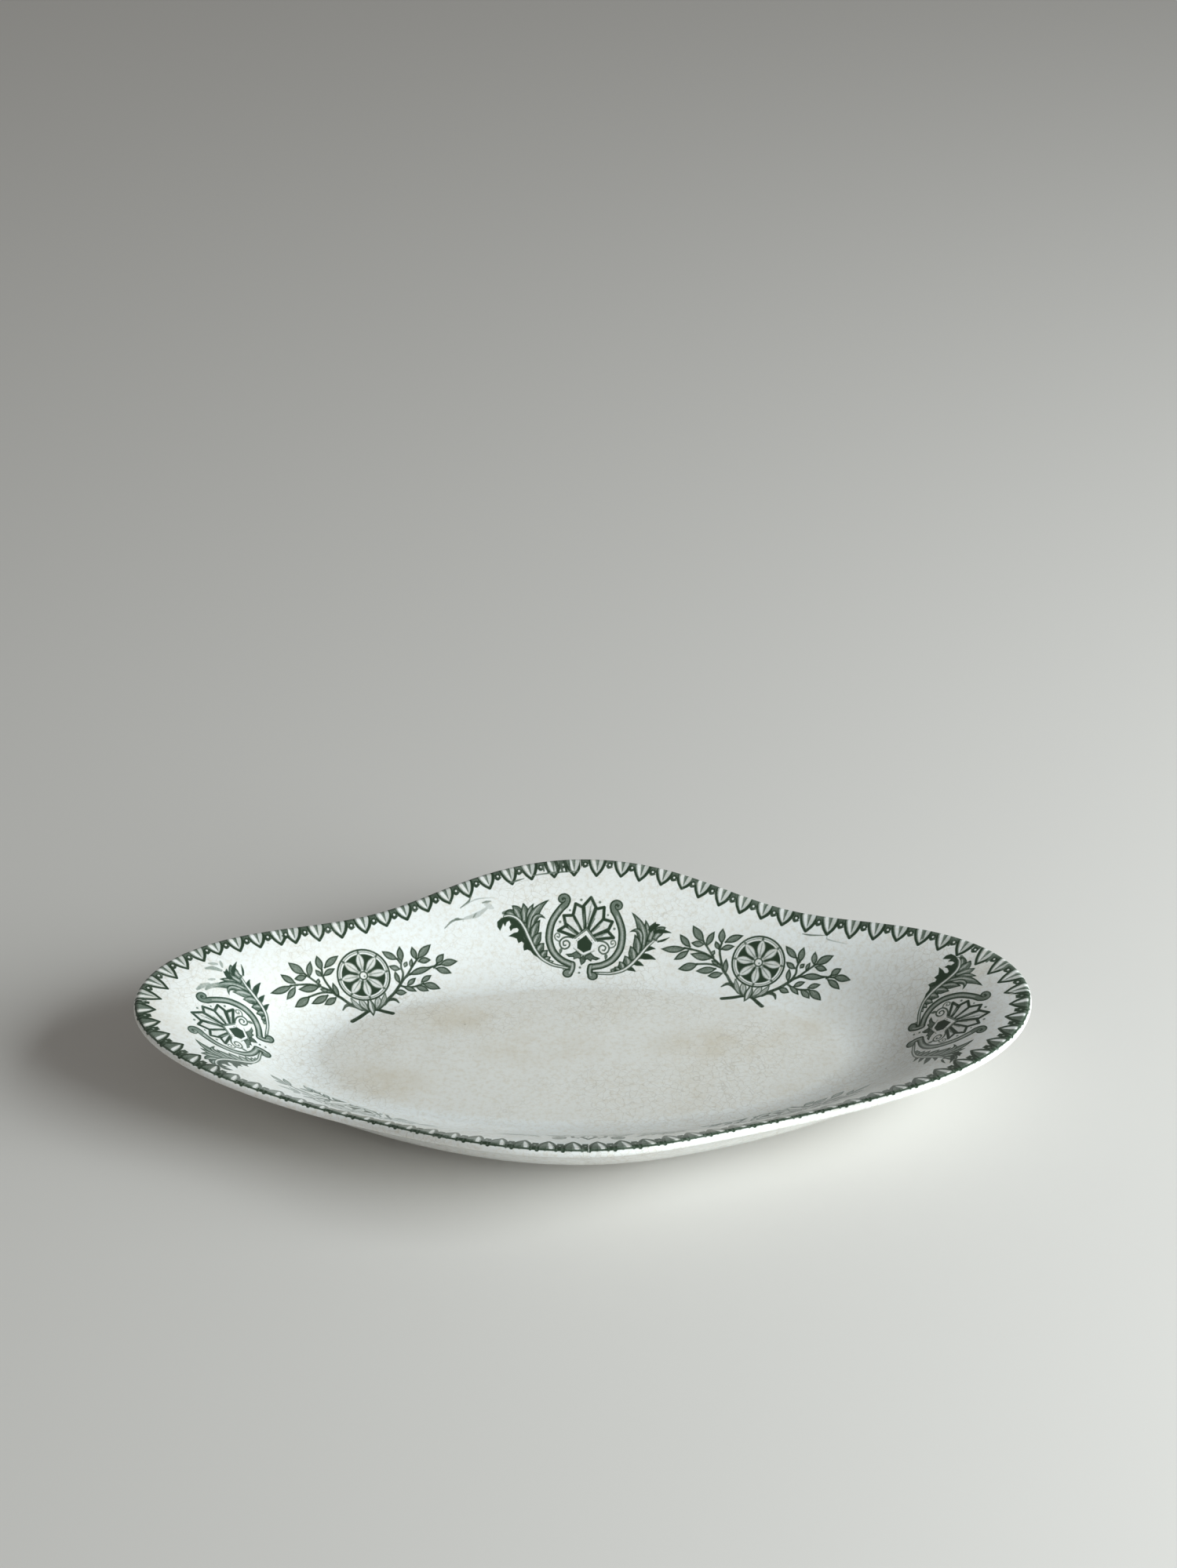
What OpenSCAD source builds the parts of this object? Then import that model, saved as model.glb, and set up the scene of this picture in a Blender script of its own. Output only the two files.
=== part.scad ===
// Oval appetizer dish in white earthenware: a shallow bowl with a lobed, wavy rim on a low foot,
// with underglaze prints in green. Each print lies on the wall as a thin film that bites into it.

/* [Rim] */
// Length over the rim, from end to end
dish_len = 250; // [215:1:285]
// Width over the rim, from side to side
dish_wid = 136; // [118:1:154]
// Height of the rim's four high lobes above the table
dish_h = 28; // [25:0.5:34]
// How far the rim's four shoulders are drawn in from the full oval
shoulder_draw = 12.5; // [0:0.5:15]
// Where the shoulders lie around the oval, in degrees from the long axis
shoulder_angle = 54; // [48:1:58]
// Slope of the wall where it meets the lip, at the middle of a long side
rim_slope = 18; // [12:1:24]
// Width of the flare below the lip, where the wall eases off to that slope
rim_flare = 18; // [12:0.5:20]
// Thickness of the rounded lip
lip_t = 2.7; // [2:0.1:4]

/* [Well] */
// Length of the flat oval floor
well_len = 146; // [130:1:150]
// Width of the flat oval floor
well_wid = 60; // [50:1:70]
// Width of the hollow curve from the floor up to the wall
well_sweep = 14; // [9:0.5:16]
// Thickness of the floor
floor_t = 5; // [4:0.1:7]

/* [Foot] */
// Length over the foot where it meets the table
foot_len = 123; // [118:1:134]
// Width over the foot where it meets the table
foot_wid = 74; // [66:1:82]
// Height of the foot
foot_h = 2.6; // [2:0.1:5]
// Width of the flat land that the foot stands on
foot_land = 3; // [2:0.1:5]
// Height of the land's straight edge
foot_edge = 0.7; // [0.4:0.1:1.2]
// How much the foot widens on each side, from the land up to the floor
foot_flare = 1.4; // [0.4:0.1:2.5]
// Angle at which the wall springs from the foot, at the middle of a long side
spring_angle = 12; // [4:1:18]
// The same angle at the two ends, where the wall reaches farther out
end_spring = 2; // [0:0.5:4]

/* [Print film] */
// How far the printed film stands above the wall
film_rise = 0.25; // [0.2:0.01:0.4]
// How far the printed film bites into the wall
film_bite = 0.15; // [0.1:0.01:0.3]
// Width of a printed line
line_w = 0.8; // [0.5:0.05:1.1]

/* [Border] */
// Spacing of the leaf tips along the rim
tooth_pitch = 6.7; // [5:0.1:9]
// Depth of a leaf tip
tooth_depth = 4.2; // [3.5:0.1:7]
// Plain edge between the lip and the leaf tips
tooth_margin = 0.5; // [0.3:0.1:2]

/* [Palmettes] */
// Height of the lyre around a palmette, between the centres of its knobs
palmette_h = 23; // [17:0.5:24]
// Distance from the lip to the middle of the lyre on a long side, in plan
palmette_inset = 21.5; // [20:0.5:23]

/* [Rosettes] */
// Diameter of the ring around a rosette
rosette_d = 16.2; // [12:0.1:18]
// Distance from the lip to the middle of the rosettes, in plan
rosette_inset = 15; // [13:0.5:17]
// Where the rosettes lie around the oval, in degrees from the long axis
rosette_angle = 50; // [46:1:54]

/* [Hidden] */
around = 80;
sweep_steps = 4;
wall_steps = 7;
lip_steps = 4;
under_steps = 5;
rim_steps = 360;
newton_steps = 8;
walk_steps = 12;
// How strongly the underside's curve follows its two end directions, as shares of its reach
root_share = 0.46;
edge_share = 0.32;
film_gap = 0.25;
// The front shoulders came out of the mould a little off. For each shoulder, counted from the right end
// to the back: how many degrees it lies off, then how much of the draw it has.
shoulder_shifts = [[0, 1], [0, 1], [-4, 1.08], [4, 1]];
// Each print is put on by hand, so it sits a little off: place around the oval, clockwise turn, inset
palmette_back_spot = [89.4, 8, palmette_inset];
palmette_front_spot = [271, 4, palmette_inset];
palmette_left_spot = [180.7, 4, palmette_inset + 4.3];
palmette_right_spot = [-4, 3, palmette_inset + 0.5];
rosette_back_left_spot = [184 - rosette_angle, 5, rosette_inset + 1];
rosette_back_right_spot = [5.5 + rosette_angle, -1, rosette_inset - 0.7];
rosette_front_left_spot = [177 + rosette_angle, 3, rosette_inset];
rosette_front_right_spot = [-5 - rosette_angle, -3, rosette_inset];

white = [0.93, 0.92, 0.88];
biscuit = [0.84, 0.79, 0.70];
green = [0.20, 0.33, 0.26];

lip_r = lip_t / 2;
well_a = well_len / 2;
well_b = well_wid / 2;
floor_z = foot_h + floor_t;
rim_b = dish_wid / 2 - lip_r * (1 + sin(rim_slope));
rim_z = dish_h - lip_r * (1 - cos(rim_slope));
wall_h = rim_z - floor_z;
rim_rise = tan(rim_slope) * (rim_b - well_b) / wall_h;
end_slope = atan(rim_rise * wall_h / (dish_len / 2 - lip_t - well_a));
rim_a = dish_len / 2 - lip_r * (1 + sin(end_slope));
span_a = rim_a - well_a;
span_b = rim_b - well_b;
sweep_s = well_sweep / span_b;
flare_s = rim_flare / span_b;
wall_rise = (2 - rim_rise * flare_s) / (2 - sweep_s - flare_s);
under_a = foot_len / 2 + foot_flare;
under_b = foot_wid / 2 + foot_flare;

function unit(v) = v / norm(v);
function oval(a, b, z) = [for (i = [0:around - 1]) let (t = 360 * i / around) [a * cos(t), b * sin(t), z]];

// The wall: ovals that grow from the well, at s = 0, to the full rim, at s = 1.
// Its slope grows across the sweep, holds, and eases off across the flare up to the rim.
function flared(s) = max(s - 1 + flare_s, 0);
function rise(s) = s < sweep_s
    ? wall_rise * s * s / (2 * sweep_s)
    : wall_rise * (s - sweep_s / 2) + (rim_rise - wall_rise) * pow(flared(s), 2) / (2 * flare_s);
function rise_rate(s) = s < sweep_s
    ? wall_rise * s / sweep_s
    : wall_rise + (rim_rise - wall_rise) * flared(s) / flare_s;
function wall(t, s) = [
    (well_a + s * span_a) * cos(t), (well_b + s * span_b) * sin(t), floor_z + wall_h * rise(s)
];
function wall_up(t, s) = [span_a * cos(t), span_b * sin(t), wall_h * rise_rate(s)];
function plan(p) = [p.x, p.y];

// The rim: the full oval drawn in at four shoulders, one in each quarter turn
function quarter_of(t) = floor(((t % 360) + 360) % 360 / 90);
function rim_s(t) = let (
        shift = shoulder_shifts[quarter_of(t)],
        angle = shoulder_angle + shift[0],
        skew = (angle - 45) / sin(2 * angle),
        across = norm([span_a * cos(angle), span_b * sin(angle)]),
        off_end = acos(abs(cos(t)))
    ) 1 - shoulder_draw * shift[1] / across * pow(sin(2 * (off_end - skew * sin(2 * off_end))), 2);
function rim(t) = wall(t, rim_s(t));
function rim_along(t) = unit(rim(t + 0.5) - rim(t - 0.5));
function rim_normal(t) = unit(cross(wall_up(t, rim_s(t)), rim_along(t)));
function rim_out(t) = unit(cross(rim_along(t), rim_normal(t)));
function lip(t, turn) = rim(t) - lip_r * rim_normal(t)
    + lip_r * (rim_normal(t) * cos(turn) + rim_out(t) * sin(turn));

// Height of the wall over a point in plan, found by Newton steps on the oval through the point
function oval_s(x, y, s, n) = let (a = well_a + s * span_a, b = well_b + s * span_b)
    n == 0 ? s : oval_s(x, y, s + (x * x / (a * a) + y * y / (b * b) - 1)
        / (2 * (x * x * span_a / pow(a, 3) + y * y * span_b / pow(b, 3))), n - 1);
function in_well(x, y) = pow(x / well_a, 2) + pow(y / well_b, 2) <= 1;
function wall_z(x, y) = in_well(x, y) ? floor_z : floor_z + wall_h * rise(oval_s(x, y, 0, newton_steps));

// The underside of one section: a curve from the foot's root to the lip's lower edge
function bezier(p, v) = p[0] * pow(1 - v, 3) + p[1] * 3 * v * pow(1 - v, 2)
    + p[2] * 3 * v * v * (1 - v) + p[3] * pow(v, 3);
function spring(t) = end_spring + (spring_angle - end_spring) * pow(sin(t), 2);
function under(t, v) = let (
        root = [under_a * cos(t), under_b * sin(t), foot_h],
        edge = lip(t, 180),
        reach = norm(edge - root),
        out = unit([root.x, root.y, 0]) * cos(spring(t)) + [0, 0, sin(spring(t))]
    ) bezier([root, root + root_share * reach * out, edge - edge_share * reach * rim_out(t), edge], v);

// Triangles between two rings of a loft, each ring around points long
function quad(a, b, c, d) = [[a, b, c], [a, c, d]];
function band_faces(k, m) = [for (i = [0:around - 1]) let (j = (i + 1) % around)
    each quad(k * around + i, m * around + i, m * around + j, k * around + j)];

function section(t) = concat(
    [for (i = [0:sweep_steps - 1]) wall(t, sweep_s * i / sweep_steps)],
    [for (i = [0:wall_steps]) wall(t, sweep_s + (rim_s(t) - sweep_s) * i / wall_steps)],
    [for (i = [1:lip_steps]) lip(t, 180 * i / lip_steps)],
    [for (i = [1:under_steps]) under(t, 1 - i / under_steps)]
);

module dish_body() {
    sections = [for (i = [0:around - 1]) section(360 * i / around)];
    rings = len(sections[0]);
    points = concat(
        [for (k = [0:rings - 1]) each [for (s = sections) s[k]]],
        [[0, 0, floor_z], [0, 0, foot_h]]
    );
    top = rings * around;
    last = (rings - 1) * around;
    faces = concat(
        [for (i = [0:around - 1]) [top, (i + 1) % around, i]],
        [for (k = [0:rings - 2]) each band_faces(k + 1, k)],
        [for (i = [0:around - 1]) [top + 1, last + i, last + (i + 1) % around]]
    );
    color(white) polyhedron(points, faces);
}

// The foot: a flat land with a straight edge, which flares up to the underside of the floor
module foot_ring() {
    a = foot_len / 2;
    b = foot_wid / 2;
    rings = [
        oval(a, b, foot_edge), oval(under_a, under_b, foot_h),
        oval(a - foot_land - foot_flare, b - foot_land - foot_flare, foot_h),
        oval(a - foot_land, b - foot_land, foot_edge)
    ];
    color(biscuit) {
        linear_extrude(foot_edge) difference() {
            polygon([for (p = oval(a, b, 0)) plan(p)]);
            polygon([for (p = oval(a - foot_land, b - foot_land, 0)) plan(p)]);
        }
        polyhedron([for (r = rings) each r], [for (k = [0:3]) each band_faces(k, (k + 1) % 4)]);
    }
}

// A printed stroke is a pair of edges, left and right of its run. A film lays strokes on the wall.
function normal_at(line, i) = let (
        d = unit(line[min(i + 1, len(line) - 1)] - line[max(i - 1, 0)])
    ) [-d.y, d.x];
function stroke(line, half) = [
    [for (i = [0:len(line) - 1]) line[i] + half[i] * normal_at(line, i)],
    [for (i = [0:len(line) - 1]) line[i] - half[i] * normal_at(line, i)]
];
function even(line, width) = stroke(line, [for (p = line) width / 2]);
function curve(p, n) = [for (i = [0:n]) bezier(p, i / n)];
function arc(centre, r, from, to, n) = [for (i = [0:n]) let (t = from + (to - from) * i / n)
    centre + r * [cos(t), sin(t)]];
function spiral(centre, r, from, turns, n) = [for (i = [0:n]) let (t = from + 360 * turns * i / n)
    centre + r * (1 - 0.7 * i / n) * [cos(t), sin(t)]];
// A leaf from its foot to its tip, widest two fifths of the way along
function leaf(foot, tip, width) = stroke([foot, foot + 0.4 * (tip - foot), tip], [0.12, 0.5, 0.05] * width);
// A petal widens to its shoulders, three quarters of the way along
function petal(foot, tip, width) = stroke([foot, foot + 0.75 * (tip - foot), tip], [0.16, 0.5, 0.06] * width);
function disc(centre, r) = stroke(
    [for (t = [170, 120, 60, 10]) centre + [r * cos(t), 0]], [for (t = [170, 120, 60, 10]) r * sin(t)]);
function mirrored(line) = [for (p = line) [-p.x, p.y]];
function scaled(strokes, k) = [for (s = strokes) [for (edge = s) edge * k]];

function stroke_points(s, at) = [for (i = [0:len(s[0]) - 1]) let (l = at(s[0][i]), r = at(s[1][i]))
    each [l + [0, 0, film_rise], r + [0, 0, film_rise], l - [0, 0, film_bite], r - [0, 0, film_bite]]];
function stroke_faces(n, o) = concat(
    [for (i = [0:n - 2]) let (k = o + 4 * i) each concat(
        quad(k, k + 4, k + 5, k + 1), quad(k + 2, k + 3, k + 7, k + 6),
        quad(k + 4, k, k + 2, k + 6), quad(k + 1, k + 5, k + 7, k + 3))],
    quad(o, o + 1, o + 3, o + 2),
    let (k = o + 4 * (n - 1)) quad(k + 1, k, k + 2, k + 3)
);
function starts(strokes) = [for (i = 0, o = 0; i < len(strokes); o = o + 4 * len(strokes[i][0]), i = i + 1)
    o];

module film(strokes, at) {
    offsets = starts(strokes);
    color(green) polyhedron(
        [for (s = strokes) each stroke_points(s, at)],
        [for (i = [0:len(strokes) - 1]) each stroke_faces(len(strokes[i][0]), offsets[i])]
    );
}

// A spot on the wall: its middle, its right and its way up the wall
function facing(x, y) = in_well(x, y) ? [0, 0, 1] : let (
        s = oval_s(x, y, 0, newton_steps),
        a = well_a + s * span_a,
        b = well_b + s * span_b,
        rate = wall_h * rise_rate(s)
    ) unit([-rate * b * x / a, -rate * a * y / b, a * span_b * pow(y / b, 2) + b * span_a * pow(x / a, 2)]);
function spot_frame(t, inset) = let (
        s = rim_s(t) - inset / norm([span_a * cos(t), span_b * sin(t)]),
        middle = wall(t, s),
        face = facing(middle.x, middle.y),
        out = [(well_b + s * span_b) * cos(t), (well_a + s * span_a) * sin(t), 0],
        right = unit(cross(out, face))
    ) [middle, right, cross(face, right)];
// A print is laid as paper is, so straight lines from its middle stay straight: each point is walked to
// from the middle, in steps that go straight on and then come back to the wall
function walked(p, heading, step, n) = n == 0 ? p : let (
        q = p + step * heading,
        face = facing(q.x, q.y),
        back = q - face * (q.z - wall_z(q.x, q.y)) * face.z
    ) walked(back, unit(heading - face * (heading * face)), step, n - 1);
function on_spot(frame, turn, p) = let (
        way = atan2(p.y, p.x) - turn,
        q = walked(frame[0], cos(way) * frame[1] + sin(way) * frame[2], norm(p) / walk_steps, walk_steps)
    ) [q.x, q.y, wall_z(q.x, q.y)];

// Palmette in a lyre, drawn on squares, 24 to the lyre's height, with its middle at the origin
palmette_square = palmette_h / 24;
pen = line_w / palmette_square;
function heart() = [0, -0.7];
fan_angle = 22.5;
function fan(turn, r) = heart() + r * [sin(turn), cos(turn)];
function fan_reach(turn) = 15 - 0.088 * abs(turn);
// One arm of the lyre: a thin scroll, a broad band and a thin heel, both ends curling outwards
scroll_steps = 4;
band_steps = 7;
heel_steps = 3;
function lyre_arm() = concat(
    arc([8.3, 12.6], 1.6, -60, 190, scroll_steps),
    curve([[7.2, 10.9], [13.2, 5], [12.8, -5], [3.2, -8.1]], band_steps),
    arc([3.85, -10.7], 1.7, 150, 330, heel_steps)
);
function lyre_half_widths() = pen * concat(
    [for (i = [0:scroll_steps]) 0.6], [for (i = [0:band_steps]) 1.2], [for (i = [0:heel_steps]) 0.7]
);
stem_steps = 7;
function acanthus_stem() = curve([[6.8, -9.2], [15.5, -9], [17.2, 5.5], [25.2, 4.6]], stem_steps);
// Lobes of the acanthus spray: the stem's joint that each grows from, then its tip
function acanthus_lobes() = [
    [2, [12.4, -2.6]], [3, [13.6, 2.4]], [4, [13.2, 11.4]], [5, [17.8, 9.9]], [6, [22, 9.2]],
    [3, [18.1, -5.6]], [4, [20.4, -3.2]], [5, [23.2, -1.2]], [6, [26.2, 0.2]]
];
function palmette_half() = let (stem = acanthus_stem()) concat(
    [stroke(lyre_arm(), lyre_half_widths())],
    [even(spiral([5.9, -1.6], 1.6, 150, -1.1, 5), 0.7 * pen)],
    [stroke(stem, [for (i = [0:stem_steps]) pen * (0.7 - 0.06 * i)])],
    [for (lobe = acanthus_lobes()) let (root = stem[lobe[0]], tip = lobe[1])
        leaf(root + 1.4 * pen * unit(tip - root), tip, 2.2)],
    [leaf([1.6, -4.5], [5.5, -5.4], 1.4)]
);
function palmette() = let (half = palmette_half()) concat(
    half,
    [for (s = half) [mirrored(s[1]), mirrored(s[0])]],
    [for (i = [-3:3]) let (turn = i * fan_angle, width = 3.5 - 0.014 * abs(turn))
        petal(fan(turn, 3.4), fan(turn, fan_reach(turn)), width)],
    [disc(heart(), 2.3), leaf([0, -4.2], [0, -7.6], 2)]
);

module palmette_film(spot) {
    frame = spot_frame(spot[0], spot[2]);
    film(scaled(palmette(), palmette_square), function (p) on_spot(frame, spot[1], p));
}
module palmette_back() palmette_film(palmette_back_spot);
module palmette_front() palmette_film(palmette_front_spot);
module palmette_left() palmette_film(palmette_left_spot);
module palmette_right() palmette_film(palmette_right_spot);

// Rosette in a ring over two crossed laurel sprays, drawn on squares, 16 to the ring's diameter
rosette_square = rosette_d / 16;
twig = line_w / rosette_square;
function spray_twigs() = [[[10.8, -0.8], [11.4, 2.4]], [[14.5, 2], [16.4, 3.6]]];
// Leaves of one laurel spray, each from its foot to its tip
function spray_leaves() = [
    [[9.2, -2.7], [9.4, 1]], [[11.2, 3.4], [8.3, 7.4]], [[12.1, 4], [13, 8.2]], [[12, 0.9], [14, 4.5]],
    [[16.5, 4.5], [15.6, 8.4]], [[17.3, 4.1], [21.8, 7.4]], [[16.8, 2.7], [20.8, 3]],
    [[21.6, 2.3], [24.4, 5.2]], [[22.2, 1.4], [26.8, 1]], [[21.2, 0.5], [23.5, -3]],
    [[9.5, -5.6], [13, -7.4]], [[10.9, -3.7], [16.6, -5.8]], [[13.4, -1.6], [20.8, -4.6]]
];
function spray_stem() = curve([[1.5, -10.3], [7.5, -10], [8.5, 1.8], [21.4, 1.4]], 7);
function spray() = concat(
    [stroke(spray_stem(), [for (i = [0:7]) twig * (0.6 - 0.04 * i)])],
    [even([[-1.2, -11.6], [-6.2, -13.2]], 0.9 * twig)],
    [for (line = spray_twigs()) even(line, 0.6 * twig)],
    [for (l = spray_leaves()) leaf(l[0], l[1], 2.3)]
);
function rosette() = let (half = spray(), ring_r = (rosette_d - line_w) / 2 / rosette_square) concat(
    half,
    [for (s = half) [mirrored(s[1]), mirrored(s[0])]],
    [for (from = [2, 182]) even(arc([0, 0], ring_r, from, from + 176, 7), twig)],
    [for (turn = [0:45:315]) leaf(1.8 * [sin(turn), cos(turn)], 6.8 * [sin(turn), cos(turn)], 3)],
    [disc([0, 0], 1.3)]
);

module rosette_film(spot) {
    frame = spot_frame(spot[0], spot[2]);
    film(scaled(rosette(), rosette_square), function (p) on_spot(frame, spot[1], p));
}
module rosette_back_left() rosette_film(rosette_back_left_spot);
module rosette_back_right() rosette_film(rosette_back_right_spot);
module rosette_front_left() rosette_film(rosette_front_left_spot);
module rosette_front_right() rosette_film(rosette_front_right_spot);

// Border of leaf tips, laid in four strips that meet at the ends and the middles of the rim
function step_angle(i) = 360 * i / rim_steps;
function step_len(i) = norm(rim(step_angle(i + 1)) - rim(step_angle(i)));
rim_run = [for (i = 0, q = 0; i <= rim_steps; q = q + step_len(i), i = i + 1) [q, step_angle(i)]];
rim_len = rim_run[rim_steps][0];
strip_teeth = round(rim_len / tooth_pitch / 4);
pitch = rim_len / strip_teeth / 4;
function on_border(p) = let (
        t = lookup(p.x, rim_run),
        along = unit(plan(rim_along(t))),
        in = [-along.y, along.x],
        slope = atan(-rim_out(t).z / (plan(rim_out(t)) * in)),
        q = plan(rim(t)) + p.y * cos(slope) * in
    ) [q.x, q.y, wall_z(q.x, q.y)];
function tooth(q) = let (w = (pitch - film_gap) / 2, base = tooth_margin, tip = tooth_margin + tooth_depth) [
    [[q - w, base], [q, tip], [q + w, base]],
    [[q - w + 1.7 * line_w, base], [q, tip - 2.2 * line_w], [q + w - 1.2 * line_w, base]]
];

module border_film(quarter) {
    first = quarter * strip_teeth;
    film([for (i = [0:strip_teeth - 1]) tooth((first + i + 0.5) * pitch)], function (p) on_border(p));
}
module border_back_right() border_film(0);
module border_back_left() border_film(1);
module border_front_left() border_film(2);
module border_front_right() border_film(3);

dish_body();
foot_ring();
border_back_right();
border_back_left();
border_front_left();
border_front_right();
palmette_back();
palmette_front();
palmette_left();
palmette_right();
rosette_back_left();
rosette_back_right();
rosette_front_left();
rosette_front_right();
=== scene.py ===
"""Looks of an oval earthenware appetizer dish: a glazed white bowl with green transfer prints.

Sizes are in millimetres unless a name or a comment says otherwise. Meshes go into the scene in metres.
"""

from __future__ import annotations

import logging
import math
from collections.abc import Callable, Sequence
from dataclasses import dataclass, field
from enum import Enum

import bpy
import numpy as np
from mathutils import Matrix, Vector

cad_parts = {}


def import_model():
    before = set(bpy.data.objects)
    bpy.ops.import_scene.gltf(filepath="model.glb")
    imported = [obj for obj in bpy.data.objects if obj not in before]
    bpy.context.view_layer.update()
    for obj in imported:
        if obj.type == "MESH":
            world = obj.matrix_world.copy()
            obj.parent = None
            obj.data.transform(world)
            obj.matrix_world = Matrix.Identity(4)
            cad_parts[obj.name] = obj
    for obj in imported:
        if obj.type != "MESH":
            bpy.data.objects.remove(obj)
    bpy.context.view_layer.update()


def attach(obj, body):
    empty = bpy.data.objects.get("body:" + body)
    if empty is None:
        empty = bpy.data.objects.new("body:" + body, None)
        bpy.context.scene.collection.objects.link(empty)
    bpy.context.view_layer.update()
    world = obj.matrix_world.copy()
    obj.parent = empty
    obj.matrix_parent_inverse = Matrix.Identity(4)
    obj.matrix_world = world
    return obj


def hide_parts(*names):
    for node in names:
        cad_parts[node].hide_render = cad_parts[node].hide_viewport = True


LOG = logging.getLogger("appetizer_dish")
MM = 0.001
TINY = 1e-12
Array = np.ndarray
Colour = tuple[float, float, float]
Point = tuple[float, float]
Path = tuple[Point, ...]
Place = Callable[[Array, Array], Array]
Socket = bpy.types.NodeSocket


class Tone(float, Enum):
    """How much ink a part of a print carries."""

    WHITE = 0.0
    GREY = 0.48
    DEEP = 0.72
    DARK = 0.98


class Side(float, Enum):
    """The two halves of a print that is drawn once and mirrored."""

    LEFT = -1.0
    RIGHT = 1.0

    @property
    def flip(self) -> Array:
        """What a point is multiplied by to lie on this side."""
        return np.array([self.value, 1.0])


class Quarter(Enum):
    """The four strips of the border, counted round the rim from its right end."""

    BACK_RIGHT = 0
    BACK_LEFT = 1
    FRONT_LEFT = 2
    FRONT_RIGHT = 3


class Wear(Enum):
    """How much of a print's ink is left."""

    NONE = "none"
    RUBBED = "rubbed"
    FADED = "faded"


def unit(v: Array) -> Array:
    """Vectors of length one in the same directions."""
    return v / np.linalg.norm(v, axis=-1, keepdims=True)


def leftward(line: Array) -> Array:
    """Directions of length one to the left of a line, at each of its points."""
    along = unit(np.gradient(line, axis=0))
    return np.stack([-along[:, 1], along[:, 0]], -1)


def turns(count: int) -> Array:
    """Equal turns round an oval, in one row."""
    return 2 * math.pi * np.arange(count)[None, :] / count


def smooth(points: Sequence, steps: int = 7) -> Array:
    """A curve through points, by Catmull and Rom's cubic between each two of them.

    Args:
        points: the points, in order.
        steps: how many pieces each stretch between two points is cut into.

    Returns:
        The curve's points, shape (n, 2).
    """
    p = np.asarray(points, float)
    p = np.vstack([2 * p[0] - p[1], p, 2 * p[-1] - p[-2]])
    t = (np.arange(steps) / steps)[None, :, None]
    a, b, c, d = (p[i : len(p) - 3 + i, None, :] for i in range(4))
    run = b + 0.5 * t * (c - a + t * (2 * a - 5 * b + 4 * c - d + t * (3 * (b - c) + d - a)))
    return np.vstack([run.reshape(-1, 2), p[-2:-1]])


def bow(foot: Sequence, lean: Sequence, tip: Sequence, steps: int = 14) -> Array:
    """A bent line from foot to tip that leans towards a third point, as a quadratic curve."""
    s = np.linspace(0.0, 1.0, steps)[:, None]
    return (1 - s) ** 2 * np.asarray(foot) + 2 * s * (1 - s) * np.asarray(lean) + s**2 * np.asarray(tip)


def circle(centre: Sequence, radius: float, steps: int = 40) -> Array:
    """A closed round outline."""
    t = np.linspace(0.0, 2 * math.pi, steps + 1)
    return np.asarray(centre) + radius * np.stack([np.cos(t), np.sin(t)], -1)


@dataclass(frozen=True)
class LeafForm:
    """How a leaf swells: where along its midrib it is widest, and its foot's share of that width."""

    belly: float = 0.45
    root: float = 0.15

    def outline(self, line: Array, width: float) -> Array:
        """The outline of a leaf, with a width that swells like a sine and ends in a point.

        Args:
            line: the midrib from foot to tip, shape (n, 2).
            width: the widest part.

        Returns:
            The closed outline, shape (2n, 2).
        """
        s = np.linspace(0.0, 1.0, len(line))
        swell = np.sin(math.pi * s ** (math.log(0.5) / math.log(self.belly)))
        half = 0.5 * width * np.maximum(swell, self.root * (1 - s) ** 0.5)
        across = leftward(line) * half[:, None]
        return np.vstack([line + across, (line - across)[::-1]])


@dataclass(frozen=True)
class Line:
    """A drawn line: its width, or the widths it runs through evenly from start to end, and its ink."""

    width: float | Sequence[float]
    tone: float = Tone.DARK


@dataclass(frozen=True)
class Fill:
    """A filled shape: its ink, and the width and ink of a line along the inside of its edge."""

    tone: float
    edge: float = 0.0
    edge_tone: float = Tone.DARK


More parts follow.
